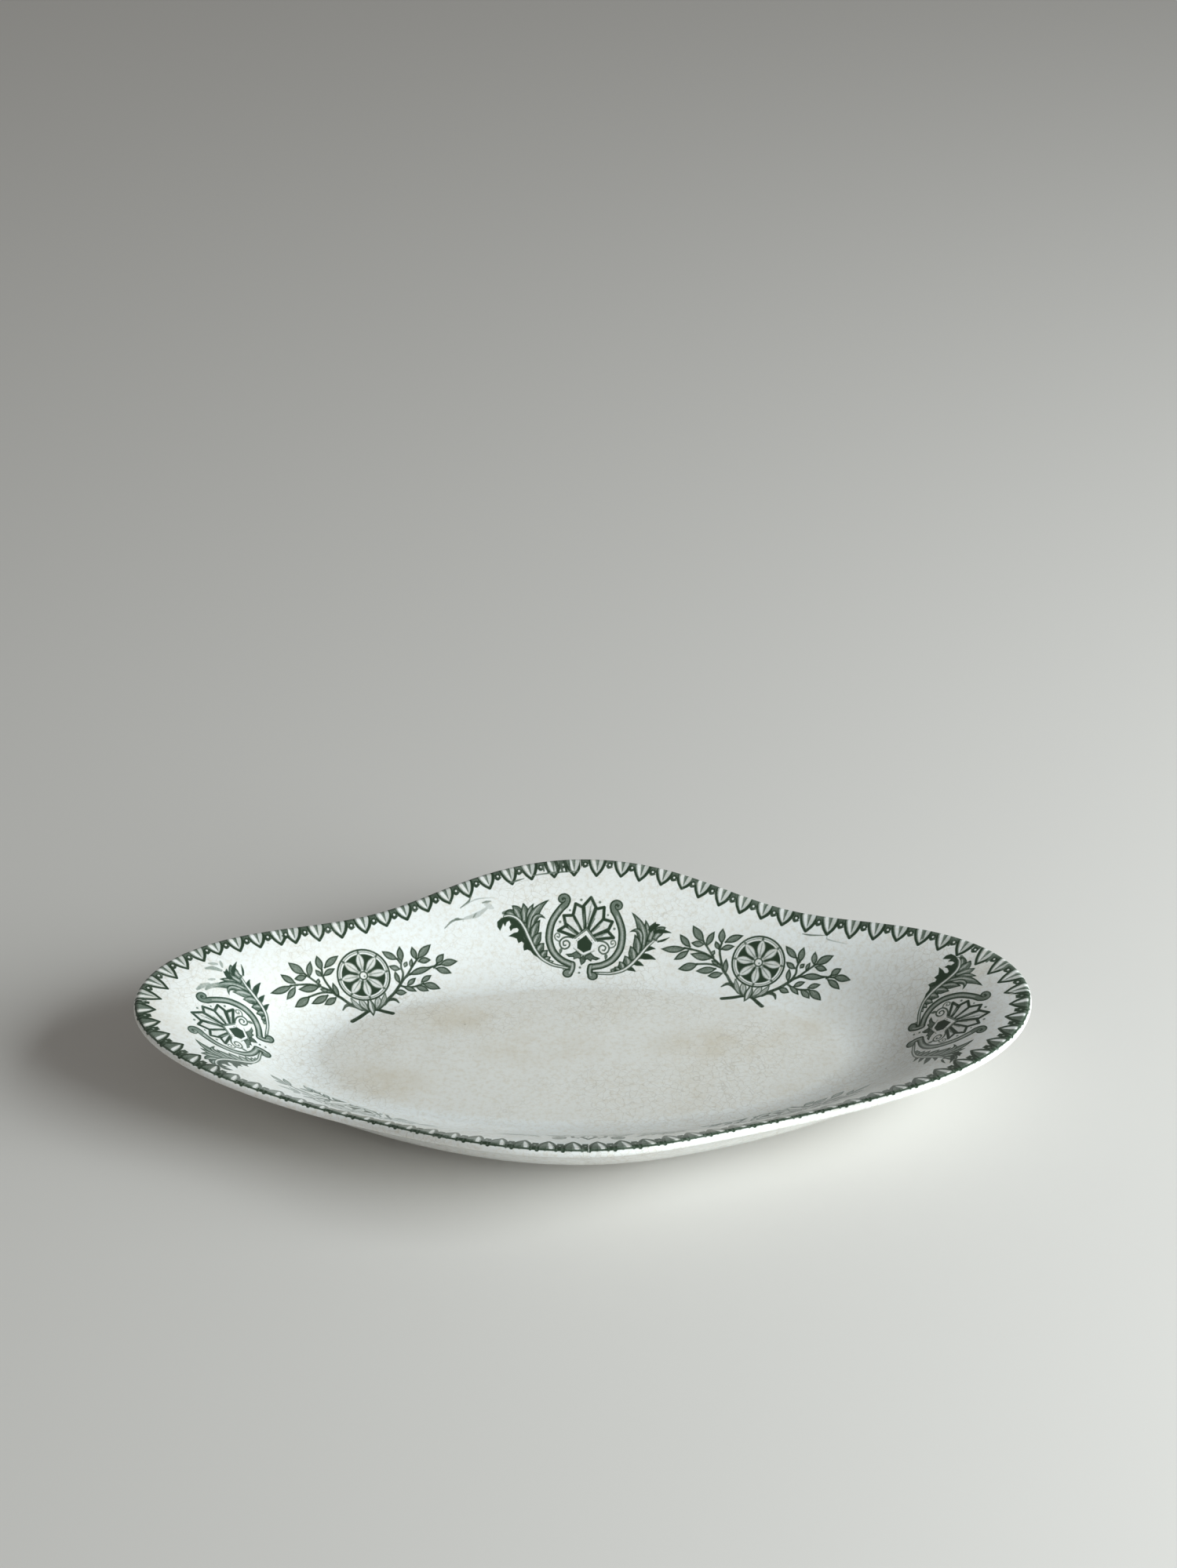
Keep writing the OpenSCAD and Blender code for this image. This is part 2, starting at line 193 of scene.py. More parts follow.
class Plate:
    """An engraved plate: the amount of ink at each point of a flat grid, in the drawing's squares.

    Shapes are laid one over the other, as a painter would. A shape's gap is the distance from its
    edge, below zero inside it, and the ink fades across the edge over a short softness.
    """

    PAD = 1.4

    def __init__(self, low: Point, high: Point, step: float, softness: float) -> None:
        """Makes a clean plate.

        Args:
            low: lowest x and y.
            high: highest x and y.
            step: spacing of the points.
            softness: width of the fade at an edge.
        """
        self.xs = np.arange(low[0], high[0] + step / 2, step)
        self.ys = np.arange(low[1], high[1] + step / 2, step)
        self.softness = softness
        self.ink = np.zeros((len(self.ys), len(self.xs)))
        self.reach = np.full_like(self.ink, self.PAD)

    def _window(self, low: Array, high: Array) -> tuple[slice, slice]:
        """Finds the part of the plate that a shape can touch.

        Args:
            low: the shape's lowest x and y.
            high: its highest x and y.

        Returns:
            The rows and the columns.
        """
        cols = np.searchsorted(self.xs, (low[0] - self.PAD, high[0] + self.PAD))
        rows = np.searchsorted(self.ys, (low[1] - self.PAD, high[1] + self.PAD))
        return slice(*rows), slice(*cols)

    def _lay(self, window: tuple[slice, slice], gap: Array, tone: float) -> None:
        """Lays a tone inside a gap's zero line and notes how near the shape comes.

        Args:
            window: the rows and columns to work on.
            gap: the shape's gap there.
            tone: the ink.
        """
        cover = np.clip(0.5 - gap / self.softness, 0.0, 1.0)
        self.ink[window] += (float(tone) - self.ink[window]) * cover
        self.reach[window] = np.minimum(self.reach[window], gap)

    def _measured(self, path: Array, half: Array) -> tuple[tuple[slice, slice], Array, Array, Array]:
        """Distances from a path of straight pieces, less its half width there.

        Args:
            path: the path's points, shape (n, 2).
            half: half width at each point.

        Returns:
            The window, its x and y, and the least distance at each of its points.
        """
        window = self._window(path.min(0) - half.max(), path.max(0) + half.max())
        x, y = (g[..., None] for g in np.meshgrid(self.xs[window[1]], self.ys[window[0]]))
        a, run = path[:-1], np.diff(path, axis=0)
        size = np.maximum((run**2).sum(1), TINY)
        share = np.clip(((x - a[:, 0]) * run[:, 0] + (y - a[:, 1]) * run[:, 1]) / size, 0.0, 1.0)
        away = np.hypot(x - a[:, 0] - share * run[:, 0], y - a[:, 1] - share * run[:, 1])
        away -= half[:-1] + share * np.diff(half)
        return window, x, y, away.min(-1)

    def stroke(self, path: Array | Path, line: Line) -> None:
        """Draws a line.

        Args:
            path: its points.
            line: its width and ink.
        """
        path = np.asarray(path, float)
        widths = np.atleast_1d(np.asarray(line.width, float))
        share = np.linspace(0.0, 1.0, len(path))
        half = np.interp(share, np.linspace(0.0, 1.0, len(widths)), widths) / 2
        window, _, _, gap = self._measured(path, half)
        self._lay(window, gap, line.tone)

    def area(self, outline: Array | Path, fill: Fill) -> None:
        """Fills a closed outline, and lays a line along the inside of its edge where the fill has one.

        A point is inside where a level line from it crosses the outline an odd number of times.

        Args:
            outline: the corners.
            fill: the ink inside and along the edge.
        """
        outline = np.asarray(outline, float)
        path = np.vstack([outline, outline[:1]])
        window, x, y, away = self._measured(path, np.zeros(len(path)))
        a, b = path[:-1], path[1:]
        rise = np.where(b[:, 1] == a[:, 1], TINY, b[:, 1] - a[:, 1])
        spans = (a[:, 1] > y) != (b[:, 1] > y)
        crossed = spans & (x < a[:, 0] + (b[:, 0] - a[:, 0]) * (y - a[:, 1]) / rise)
        gap = np.where(crossed.sum(-1) % 2 == 1, -away, away)
        if fill.edge:
            self._lay(window, gap, fill.edge_tone)
        self._lay(window, gap + fill.edge, fill.tone)

    def rub_out(self, below: float) -> None:
        """Takes the ink away below a line, softly, as where a print didn't take."""
        self.ink *= np.clip(self.ys - below, 0.0, 1.0)[:, None]
        self.reach[self.ys < below] = self.PAD


@dataclass
class Bowl:
    """The dish's own surface: ovals that grow from well to rim, a round lip and an underside."""

    length: float = 250.0
    width: float = 136.0
    height: float = 28.0
    shoulder_draw: float = 12.5
    shoulder_angle: float = math.radians(54)
    # For each shoulder, from the right end to the back: how far it lies off, and its share of the draw
    shoulder_shifts: Path = (
        (0.0, 1.0), (0.0, 1.0), (math.radians(-4), 1.08), (math.radians(4), 1.0),
    )
    rim_slope: float = math.radians(18)
    rim_flare: float = 18.0
    lip_thick: float = 2.7
    well_length: float = 146.0
    well_width: float = 60.0
    well_sweep: float = 14.0
    floor_thick: float = 5.0
    foot_length: float = 123.0
    foot_width: float = 74.0
    foot_height: float = 2.6
    foot_flare: float = 1.4
    spring_angle: float = math.radians(12)
    end_spring: float = math.radians(2)
    root_share: float = 0.46
    edge_share: float = 0.32
    rim_steps: int = 3600
    rim_probe: float = math.radians(0.5)
    wall_probe: float = 0.05
    newton_steps: int = 9
    least_rate: float = 1e-9
    ray_count: int = 180
    ray_step: float = 0.5
    ray_steps: int = 74

    def __post_init__(self) -> None:
        """Works out the lengths that follow from the sizes."""
        self.lip_r = self.lip_thick / 2
        self.well_a = self.well_length / 2
        self.well_b = self.well_width / 2
        self.floor_z = self.foot_height + self.floor_thick
        rim_b = self.width / 2 - self.lip_r * (1 + math.sin(self.rim_slope))
        rim_z = self.height - self.lip_r * (1 - math.cos(self.rim_slope))
        self.wall_height = rim_z - self.floor_z
        self.rim_rise = math.tan(self.rim_slope) * (rim_b - self.well_b) / self.wall_height
        end_run = self.length / 2 - self.lip_thick - self.well_a
        end_slope = math.atan(self.rim_rise * self.wall_height / end_run)
        self.span_a = self.length / 2 - self.lip_r * (1 + math.sin(end_slope)) - self.well_a
        self.span_b = rim_b - self.well_b
        self.sweep_s = self.well_sweep / self.span_b
        self.flare_s = self.rim_flare / self.span_b
        self.wall_rise = (2 - self.rim_rise * self.flare_s) / (2 - self.sweep_s - self.flare_s)
        shifts, shares = np.array(self.shoulder_shifts).T
        angles = self.shoulder_angle + shifts
        self.skews = (angles - math.pi / 4) / np.sin(2 * angles)
        across = np.hypot(self.span_a * np.cos(angles), self.span_b * np.sin(angles))
        self.draws = self.shoulder_draw * shares / across
        self.under_a = self.foot_length / 2 + self.foot_flare
        self.under_b = self.foot_width / 2 + self.foot_flare
        self.rim_turns = np.linspace(0.0, 2 * math.pi, self.rim_steps + 1)
        steps = np.linalg.norm(np.diff(self.rim(self.rim_turns), axis=0), axis=1)
        self.rim_runs = np.concatenate([[0.0], np.cumsum(steps)])

    @property
    def rim_length(self) -> float:
        """Length of the rim all the way round."""
        return float(self.rim_runs[-1])

    def rise(self, s: Array) -> Array:
        """The wall's rise: its slope grows over the sweep, holds, and eases off over the flare.

        Args:
            s: share of the way from the well to the full rim.

        Returns:
            The share of the height.
        """
        flared = np.maximum(s - 1 + self.flare_s, 0.0)
        wall = self.wall_rise * (s - self.sweep_s / 2)
        wall = wall + (self.rim_rise - self.wall_rise) * flared**2 / (2 * self.flare_s)
        return np.where(s < self.sweep_s, self.wall_rise * s**2 / (2 * self.sweep_s), wall)

    def rise_rate(self, s: Array) -> Array:
        """How fast the rise grows.

        Args:
            s: share of the way from the well to the full rim.

        Returns:
            The rise's rate for a whole share.
        """
        flared = np.maximum(s - 1 + self.flare_s, 0.0)
        wall = self.wall_rise + (self.rim_rise - self.wall_rise) * flared / self.flare_s
        return np.where(s < self.sweep_s, self.wall_rise * s / self.sweep_s, wall)

    def wall(self, t: Array, s: Array) -> Array:
        """The inner wall: an oval that grows evenly in plan and climbs by the rise.

        Args:
            t: turn round the oval.
            s: share of the way from the well to the full rim.

        Returns:
            Points, shape (..., 3).
        """
        t, s = np.broadcast_arrays(t, s)
        x = (self.well_a + s * self.span_a) * np.cos(t)
        y = (self.well_b + s * self.span_b) * np.sin(t)
        return np.stack([x, y, self.floor_z + self.wall_height * self.rise(s)], -1)

    def rim_s(self, t: Array) -> Array:
        """The rim: the full oval, drawn in by a squared sine at the shoulder of each quarter turn.

        Args:
            t: turn round the oval.

        Returns:
            The share at which the wall ends.
        """
        quarter = np.floor(np.asarray(t) / (math.pi / 2)).astype(int) % 4
        off_end = np.arccos(np.abs(np.cos(t)))
        skewed = off_end - self.skews[quarter] * np.sin(2 * off_end)
        return 1 - self.draws[quarter] * np.sin(2 * skewed) ** 2

    def rim(self, t: Array) -> Array:
        """The wall's upper edge."""
        return self.wall(t, self.rim_s(t))

    def rim_axes(self, t: Array) -> tuple[Array, Array, Array]:
        """The rim's directions, from small steps along it and the wall's rate there.

        Args:
            t: turn round the oval.

        Returns:
            The directions along the rim, out of the inner face, and on up the wall.
        """
        along = unit(self.rim(t + self.rim_probe) - self.rim(t - self.rim_probe))
        rate = self.wall_height * self.rise_rate(self.rim_s(t))
        up = np.stack([self.span_a * np.cos(t), self.span_b * np.sin(t), rate], -1)
        face = unit(np.cross(up, along))
        return along, face, unit(np.cross(along, face))

    def lip(self, t: Array, turn: Array) -> Array:
        """The round lip: a half circle that starts on the inner face and ends below it.

        Args:
            t: turn round the oval.
            turn: turn round the lip.

        Returns:
            Points, shape (..., 3).
        """
        t, turn = np.broadcast_arrays(t, turn)
        _, face, out = self.rim_axes(t)
        round_off = face * (np.cos(turn) - 1)[..., None] + out * np.sin(turn)[..., None]
        return self.rim(t) + self.lip_r * round_off

    def under(self, t: Array, v: Array) -> Array:
        """The underside: a cubic curve from the foot's root to the lip's lower edge.

        Args:
            t: turn round the oval.
            v: place along the curve, 0 at the root and 1 at the lip.

        Returns:
            Points, shape (..., 3).
        """
        t, v = np.broadcast_arrays(t, v)
        base = np.full_like(t, self.foot_height)
        root = np.stack([self.under_a * np.cos(t), self.under_b * np.sin(t), base], -1)
        edge = self.lip(t, np.full_like(t, math.pi))
        reach = np.linalg.norm(edge - root, axis=-1, keepdims=True)
        flat = unit(root * np.array([1.0, 1.0, 0.0]))
        angle = self.end_spring + (self.spring_angle - self.end_spring) * np.sin(t)[..., None] ** 2
        spring = flat * np.cos(angle) + np.array([0.0, 0.0, 1.0]) * np.sin(angle)
        first = root + self.root_share * reach * spring
        second = edge - self.edge_share * reach * self.rim_axes(t)[2]
        v = v[..., None]
        ends = root * (1 - v) ** 3 + edge * v**3
        return ends + 3 * v * (1 - v) * (first * (1 - v) + second * v)

    def wall_z(self, x: Array, y: Array) -> Array:
        """Height of the wall over a point in plan, by Newton steps on the oval through the point.

        Args:
            x: the point's x.
            y: its y.

        Returns:
            The height, which is the floor's inside the well.
        """
        s = np.zeros_like(x)
        for _ in range(self.newton_steps):
            a = self.well_a + s * self.span_a
            b = self.well_b + s * self.span_b
            miss = (x / a) ** 2 + (y / b) ** 2 - 1
            rate = 2 * (x**2 * self.span_a / a**3 + y**2 * self.span_b / b**3)
            s = s + miss / np.maximum(rate, self.least_rate)
        inside = (x / self.well_a) ** 2 + (y / self.well_b) ** 2 <= 1
        climbed = self.floor_z + self.wall_height * self.rise(np.maximum(s, 0))
        return np.where(inside, self.floor_z, climbed)

    def faced(self, x: Array, y: Array) -> Array:
        """The direction that the wall faces over a point in plan, from small steps either way.

        Args:
            x: the point's x.
            y: its y.

        Returns:
            Directions of length one, shape (..., 3).
        """
        step = self.wall_probe
        slope_x = (self.wall_z(x + step, y) - self.wall_z(x - step, y)) / (2 * step)
        slope_y = (self.wall_z(x, y + step) - self.wall_z(x, y - step)) / (2 * step)
        return unit(np.stack([-slope_x, -slope_y, np.ones_like(x)], -1))

    def spot(self, angle: float, turn: float, inset: float, height: float) -> Place:
        """A flat drawing's place on the wall, laid as paper is: lines from its middle stay straight.

        Each of the rays from the middle is walked over the wall in short steps. A step goes straight
        on and comes back to the wall along its facing direction. Then the heading is laid flat on the
        wall again.

        Args:
            angle: where round the oval its middle lies, in degrees.
            turn: how far it is turned clockwise, in degrees.
            inset: distance in plan from the rim to its middle.
            height: how far the drawing is stretched along its own y.

        Returns:
            A function from the drawing's x and y to points on the wall.
        """
        t = math.radians(angle)
        cos_t, sin_t = math.cos(t), math.sin(t)
        s = self.rim_s(t) - inset / math.hypot(self.span_a * cos_t, self.span_b * sin_t)
        middle = self.wall(np.array(t), np.array(s))
        face = self.faced(middle[0], middle[1])
        half_a, half_b = self.well_a + s * self.span_a, self.well_b + s * self.span_b
        right = unit(np.cross((half_b * cos_t, half_a * sin_t, 0.0), face))
        up = np.cross(face, right)
        ways = np.linspace(0.0, 2 * math.pi, self.ray_count + 1) - math.radians(turn)
        heading = np.cos(ways)[:, None] * right + np.sin(ways)[:, None] * up
        point = np.repeat(middle[None], len(ways), 0)
        walked = [point]
        for _ in range(self.ray_steps):
            point = point + self.ray_step * heading
            face = self.faced(point[:, 0], point[:, 1])
            above = point[:, 2] - self.wall_z(point[:, 0], point[:, 1])
            point = point - face * (above * face[:, 2])[:, None]
            heading = unit(heading - face * (heading * face).sum(-1, keepdims=True))
            walked.append(point)
        rays = np.stack(walked, 1)

        def place(x: Array, y: Array) -> Array:
            """Finds points by their angle and distance, as a blend of the four nearest walked points.

            Args:
                x: the drawing's x.
                y: its y.

            Returns:
                Points on the wall, shape (..., 3).
            """
            y = y * height
            way = np.arctan2(y, x) % (2 * math.pi) * self.ray_count / (2 * math.pi)
            far = np.hypot(x, y) / self.ray_step
            i = np.minimum(way.astype(int), self.ray_count - 1)
            j = np.minimum(far.astype(int), self.ray_steps - 1)
            a, b = (way - i)[..., None], (far - j)[..., None]
            near = rays[i, j] * (1 - a) + rays[i + 1, j] * a
            return near * (1 - b) + (rays[i, j + 1] * (1 - a) + rays[i + 1, j + 1] * a) * b

        return place

    def along_rim(self, run: Array, depth: Array) -> Array:
        """Points of the border.

        Args:
            run: length along the rim from the right end.
            depth: depth down the wall, or over the lip where it is below zero.

        Returns:
            Points, shape (..., 3).
        """
        t = np.interp(run % self.rim_length, self.rim_runs, self.rim_turns)
        along, _, out = self.rim_axes(t)
        flat = unit(along[..., :2])
        inward = np.stack([-flat[..., 1], flat[..., 0]], -1)
        slope = np.arctan(-out[..., 2] / (out[..., :2] * inward).sum(-1))
        plan = self.rim(t)[..., :2] + (np.maximum(depth, 0) * np.cos(slope))[..., None] * inward
        wall = np.concatenate([plan, self.wall_z(plan[..., 0], plan[..., 1])[..., None]], -1)
        over = self.lip(t, np.maximum(-depth, 0) / self.lip_r)
        return np.where((depth < 0)[..., None], over, wall)


@dataclass
class Palmette:
    """A palmette in a lyre of scrolls between two acanthus sprays. One half is drawn and mirrored.

    Points and widths are in squares of the drawing, counted from its middle.
    """

    square: float = 23.0 / 24
    step: float = 0.155
    softness: float = 0.3
    low: Point = (-29.0, -14.2)
    high: Point = (29.0, 16.0)

    # The lyre: a band and a heel with a knob below, and a scroll above
    arm: Path = (
        (7.6, 10.9), (8.6, 9.6), (9.9, 7.2), (10.8, 4.9), (11.15, 2.5), (11.1, 0.0), (10.65, -1.8),
        (9.6, -3.9), (8.2, -5.5), (6.2, -6.85), (4.2, -7.55), (3.0, -7.9),
    )
    arm_width: float = 2.3
    heel: Path = (
        (2.85, -7.6), (2.7, -8.8), (2.85, -10.0), (3.3, -10.9),
    )
    heel_share: float = 0.8
    band_line: float = 0.44
    band_tone: float = 0.54
    band_light_share: float = 0.3
    band_light_tone: float = 0.32
    scroll: Path = (
        (8.3, 10.0), (7.4, 11.2), (7.05, 12.3), (7.25, 13.2), (7.95, 13.7), (8.8, 13.55),
        (9.3, 12.9), (9.15, 12.15), (8.5, 11.9), (8.05, 12.35),
    )
    scroll_edge: Line = Line((2.2, 2.0, 1.7, 1.5, 1.3), 0.92)
    scroll_fill: Line = Line((1.2, 1.1, 0.9, 0.75, 0.5), 0.5)
    knob: Point = (3.85, -11.05)
    knob_r: float = 1.6
    knob_fill: Fill = Fill(Tone.GREY, 0.44, Tone.DARK)

    # The light tendrils beside the heart
    spiral: Path = (
        (2.8, 0.2), (4.4, 0.86), (6.4, 0.5), (7.6, -0.9), (7.2, -2.5), (5.9, -3.1), (4.7, -2.3),
        (4.6, -1.1), (5.5, -0.4), (6.5, -0.9), (6.3, -1.95), (5.7, -1.9),
    )
    spiral_line: Line = Line((0.6, 0.5, 0.5, 0.45), Tone.DEEP)
    curl: Path = (
        (7.7, -1.0), (8.9, -0.5), (9.45, 0.5), (8.9, 1.5), (8.0, 1.2), (8.1, 0.3), (8.7, 0.5),
    )
    curl_line: Line = Line(0.4, 0.6)
    bud: Path = ((6.7, -2.9), (7.2, -3.8), (6.9, -5.0))
    bud_width: float = 1.0
    bud_fill: Fill = Fill(0.6, 0.2, Tone.DEEP)
    # Dots round the fan and below it: x, y and radius
    dots: tuple = (
        (2.9, 13.1, 0.45), (5.9, 9.3, 0.35), (8.4, 5.2, 0.45), (5.3, -9.9, 0.3),
    )
    dot_fill: Fill = Fill(0.5)
    low_dots: tuple = (
        (-0.4, -8.5, 0.42), (-0.4, -10.4, 0.38),
    )
    low_dot_fill: Fill = Fill(0.6)
    dot_steps: int = 12

    # The fan. Each petal: the corners of its outline from the foot round to the foot again
    petals: tuple[Path, ...] = (
        ((2.3, 1.0), (6.4, 1.95), (8.5, 2.4), (6.6, 4.1), (5.4, 3.7), (2.5, 2.0)),
        ((1.9, 1.9), (6.7, 4.9), (7.5, 7.3), (4.6, 7.8), (3.9, 6.7), (1.2, 3.2)),
        ((1.2, 2.9), (4.7, 7.9), (4.4, 11.6), (2.0, 10.7), (1.7, 9.2), (0.5, 3.9)),
    )
    crown: Path = (
        (0.35, 3.8), (1.85, 11.3), (0, 14.3), (-1.85, 11.3), (-0.35, 3.8),
    )
    petal_rim: Line = Line(1.0, 0.9)
    petal_fill: Fill = Fill(0.12, 0.42, 0.92)
    # Strokes that shade a petal: share of its length, tone, and how far aside they end
    petal_shades: tuple = ((0.82, 0.3, 0.45), (0.72, 0.42, 0.25), (0.58, 0.5, 0.5))
    petal_shade_start: float = 0.18
    petal_shade_width: tuple = (0.2, 0.55, 0.3)

    # The heart with the roof over it, and the collar and the trio of leaves under it
    heart: Path = (
        (0, 2.1), (2.3, -0.2), (2.05, -2.3), (0, -3.45), (-2.05, -2.3), (-2.3, -0.2),
    )
    heart_fill: Fill = Fill(Tone.DARK)
    roof: Path = ((-3.2, 0.3), (0.0, 3.6), (3.2, 0.3))
    roof_gap: Line = Line(1.0, Tone.WHITE)
    roof_line: Line = Line(0.32, Tone.DEEP)
    roof_line_up: Point = (0.0, 0.3)
    collar: Path = ((-3.2, -2.5), (-2.0, -3.2), (0.0, -4.3), (2.0, -3.2), (3.2, -2.5))
    collar_line: Line = Line(0.35, 0.4)
    side_leaf: Path = (
        (0.5, -4.3), (2.2, -3.2), (3.5, -4.2), (5.4, -4.7), (4.2, -5.5), (2.9, -5.3), (2.7, -6.1),
        (1.5, -5.5), (0.6, -5.9),
    )
    side_leaf_fill: Fill = Fill(0.6, 0.34, 0.88)
    middle_leaf: Path = ((0.0, -4.4), (0.3, -6.0), (-0.2, -7.7))
    middle_leaf_width: float = 1.9
    middle_leaf_fill: Fill = Fill(Tone.DEEP, 0.3, 0.9)
    plain_form: LeafForm = LeafForm()

    # The acanthus: its stem, and the band of leaf that lies along the stem's inner side
    stem: Path = (
        (4.2, -9.2), (6.2, -9.0), (8.7, -8.7), (11.3, -7.7), (13.0, -6.6), (14.7, -4.75),
        (16.0, -2.9), (17.4, -0.7), (18.8, 1.55), (20.5, 3.55), (22.2, 4.6), (24.1, 4.9),
        (25.6, 4.4),
    )
    stem_edge: Line = Line((1.1, 1.2, 1.3, 1.3, 1.2, 0.8), 0.76)
    stem_white: Line = Line((0.35, 0.45, 0.6, 0.65, 0.6, 0.4), 0.1)
    stem_bare: float = 0.25
    leaf_band: Line = Line((1.0, 2.6, 2.8, 2.2, 1.0), 0.56)
    leaf_band_in: float = 1.1
    # Each lobe of the acanthus: foot, lean, tip and width
    lobes: tuple = (
        ((21.5, 4.4), (24.2, 7.2), (25.7, 4.9), 2.3), ((20.3, 4.0), (21.8, 7.6), (23.8, 8.2), 2.9),
        ((19.0, 3.2), (19.2, 6.8), (20.5, 9.6), 2.9), ((17.9, 3.2), (18.6, 7.0), (17.2, 9.9), 2.1),
        ((17.0, 0.2), (18.4, 6.8), (12.7, 11.8), 3.1), ((16.5, 0.2), (17.1, 8.4), (12.9, 5.5), 2.0),
        ((15.9, -1.3), (16.2, 2.0), (14.5, 5.0), 2.7),
        ((15.1, -3.4), (15.0, -0.8), (13.6, 1.2), 2.8),
        ((13.8, -5.3), (13.5, -3.6), (12.3, -2.1), 2.7),
        ((12.4, -6.9), (12.1, -5.4), (10.9, -4.2), 2.4),
        ((11.4, -7.8), (10.9, -7.0), (9.7, -6.2), 2.0),
        ((10.2, -8.3), (9.6, -7.9), (8.6, -7.5), 1.4),
    )
    lobe_form: LeafForm = LeafForm(0.42, 0.85)
    lobe_fill: Fill = Fill(0.5, 0.38, 0.9)
    lobe_shade: Line = Line((0.3, 0.45, 0.1), 0.74)
    lobe_light: Line = Line((0.4, 0.5, 0.15), 0.28)
    lobe_shade_aside: float = 0.17
    lobe_light_aside: float = -0.119
    # The dark underside of the acanthus, down its stem side and back along its teeth
    shade: Path = (
        (13.4, -7.0), (14.4, -5.8), (15.6, -4.3), (17.0, -2.2), (18.4, 0.0), (19.9, 2.1),
        (21.4, 3.6), (23.0, 4.3), (24.8, 4.4), (26.4, 3.8), (27.5, 2.3), (27.2, 0.8), (26.2, -0.3),
        (25.9, 0.9), (25.6, 2.2), (24.9, 1.3), (24.6, 2.7), (23.9, 3.3), (23.2, 2.2), (23.6, 1.2),
        (23.0, 0.1), (22.4, 1.0), (21.2, 1.4), (20.6, 0.9), (20.8, 0.1), (22.0, -0.4), (23.4, -1.6),
        (21.9, -1.7), (20.8, -2.0), (20.1, -3.3), (19.2, -2.6), (18.5, -3.1), (18.5, -4.2),
        (18.1, -5.4), (17.1, -4.9), (16.1, -5.2), (15.0, -6.3),
    )
    shade_fill: Fill = Fill(0.94)
    # The right-hand spray is shorter and hangs lower. Its single teeth: foot, lean, tip and width
    right_sag: Point = (0.3, -0.7)
    right_stop: int = 10
    right_teeth: tuple = (
        ((17.8, -0.9), (19.6, 1.0), (21.8, 0.4), 1.5),
        ((16.6, -2.7), (19.5, -1.8), (22.3, -3.0), 2.0),
        ((15.2, -4.8), (17.0, -4.6), (18.9, -5.5), 1.7),
        ((13.0, -6.8), (15.0, -6.6), (16.7, -7.8), 1.6),
        ((20.5, 5.6), (23.0, 6.6), (26.0, 6.0), 1.3), ((19.2, 5.8), (20.6, 8.0), (22.2, 8.2), 1.5),
        ((22.0, 2.8), (23.8, 3.2), (25.6, 4.6), 0.7),
    )
    tooth_form: LeafForm = LeafForm(0.4, 0.9)

    def engrave(self) -> Plate:
        """Draws the whole motif, from what lies behind to what lies in front.

        Returns:
            The plate.
        """
        plate = Plate(self.low, self.high, self.step, self.softness)
        for side in Side:
            self._acanthus(plate, side)
            self._lyre(plate, side.flip)
            self._tendrils(plate, side.flip)
        self._fan(plate)
        self._heart(plate)
        return plate

    def _acanthus(self, plate: Plate, side: Side) -> None:
        """Draws one acanthus spray: grey lobes with a dark and a pale side, dark underside, white stem.

        Args:
            plate: the plate.
            side: which spray.
        """
        left = side is Side.LEFT
        sag = np.zeros(2) if left else np.array(self.right_sag)
        stem = smooth(self.stem if left else self.stem[: self.right_stop]) + sag
        leafy = int(len(stem) * self.stem_bare)
        band = (stem + self.leaf_band_in * leftward(stem))[leafy:]
        plate.stroke(band * side.flip, self.leaf_band)
        for foot, lean, tip, width in self.lobes if left else self.lobes[1:]:
            rib = bow(foot, lean, tip) + sag
            aside = width * leftward(rib)
            plate.area(self.lobe_form.outline(rib * side.flip, width), self.lobe_fill)
            plate.stroke((rib + self.lobe_shade_aside * aside)[2:-3] * side.flip, self.lobe_shade)
            plate.stroke((rib + self.lobe_light_aside * aside)[2:-3] * side.flip, self.lobe_light)
        if left:
            plate.area(self.shade * side.flip, self.shade_fill)
        else:
            for foot, lean, tip, width in self.right_teeth:
                plate.area(self.tooth_form.outline(bow(foot, lean, tip), width), self.shade_fill)
        plate.stroke(stem * side.flip, self.stem_edge)
        plate.stroke(stem * side.flip, self.stem_white)

    def _lyre(self, plate: Plate, flip: Array) -> None:
        """Draws one arm of the lyre: a shaded band between two lines, with a scroll at each end.

        Args:
            plate: the plate.
            flip: mirrors the points to the arm's side.
        """
        widths = self.arm_width, self.heel_share * self.arm_width
        bands = [(smooth(path) * flip, w) for path, w in zip((self.arm, self.heel), widths)]
        scroll = smooth(self.scroll) * flip
        for path, width in bands:
            plate.stroke(path, Line(width))
        plate.stroke(scroll, self.scroll_edge)
        plate.area(circle(self.knob * flip, self.knob_r), self.knob_fill)
        for path, width in bands:
            plate.stroke(path, Line(width - 2 * self.band_line, self.band_tone))
            plate.stroke(path, Line(self.band_light_share * width, self.band_light_tone))
        plate.stroke(scroll, self.scroll_fill)

    def _tendrils(self, plate: Plate, flip: Array) -> None:
        """Draws the tendrils, the bud and the dots of one side.

        Args:
            plate: the plate.
            flip: mirrors the points to that side.
        """
        plate.stroke(smooth(self.spiral) * flip, self.spiral_line)
        plate.stroke(smooth(self.curl) * flip, self.curl_line)
        plate.area(self.plain_form.outline(bow(*self.bud) * flip, self.bud_width), self.bud_fill)
        for x, y, r in self.dots:
            plate.area(circle((x, y) * flip, r, self.dot_steps), self.dot_fill)

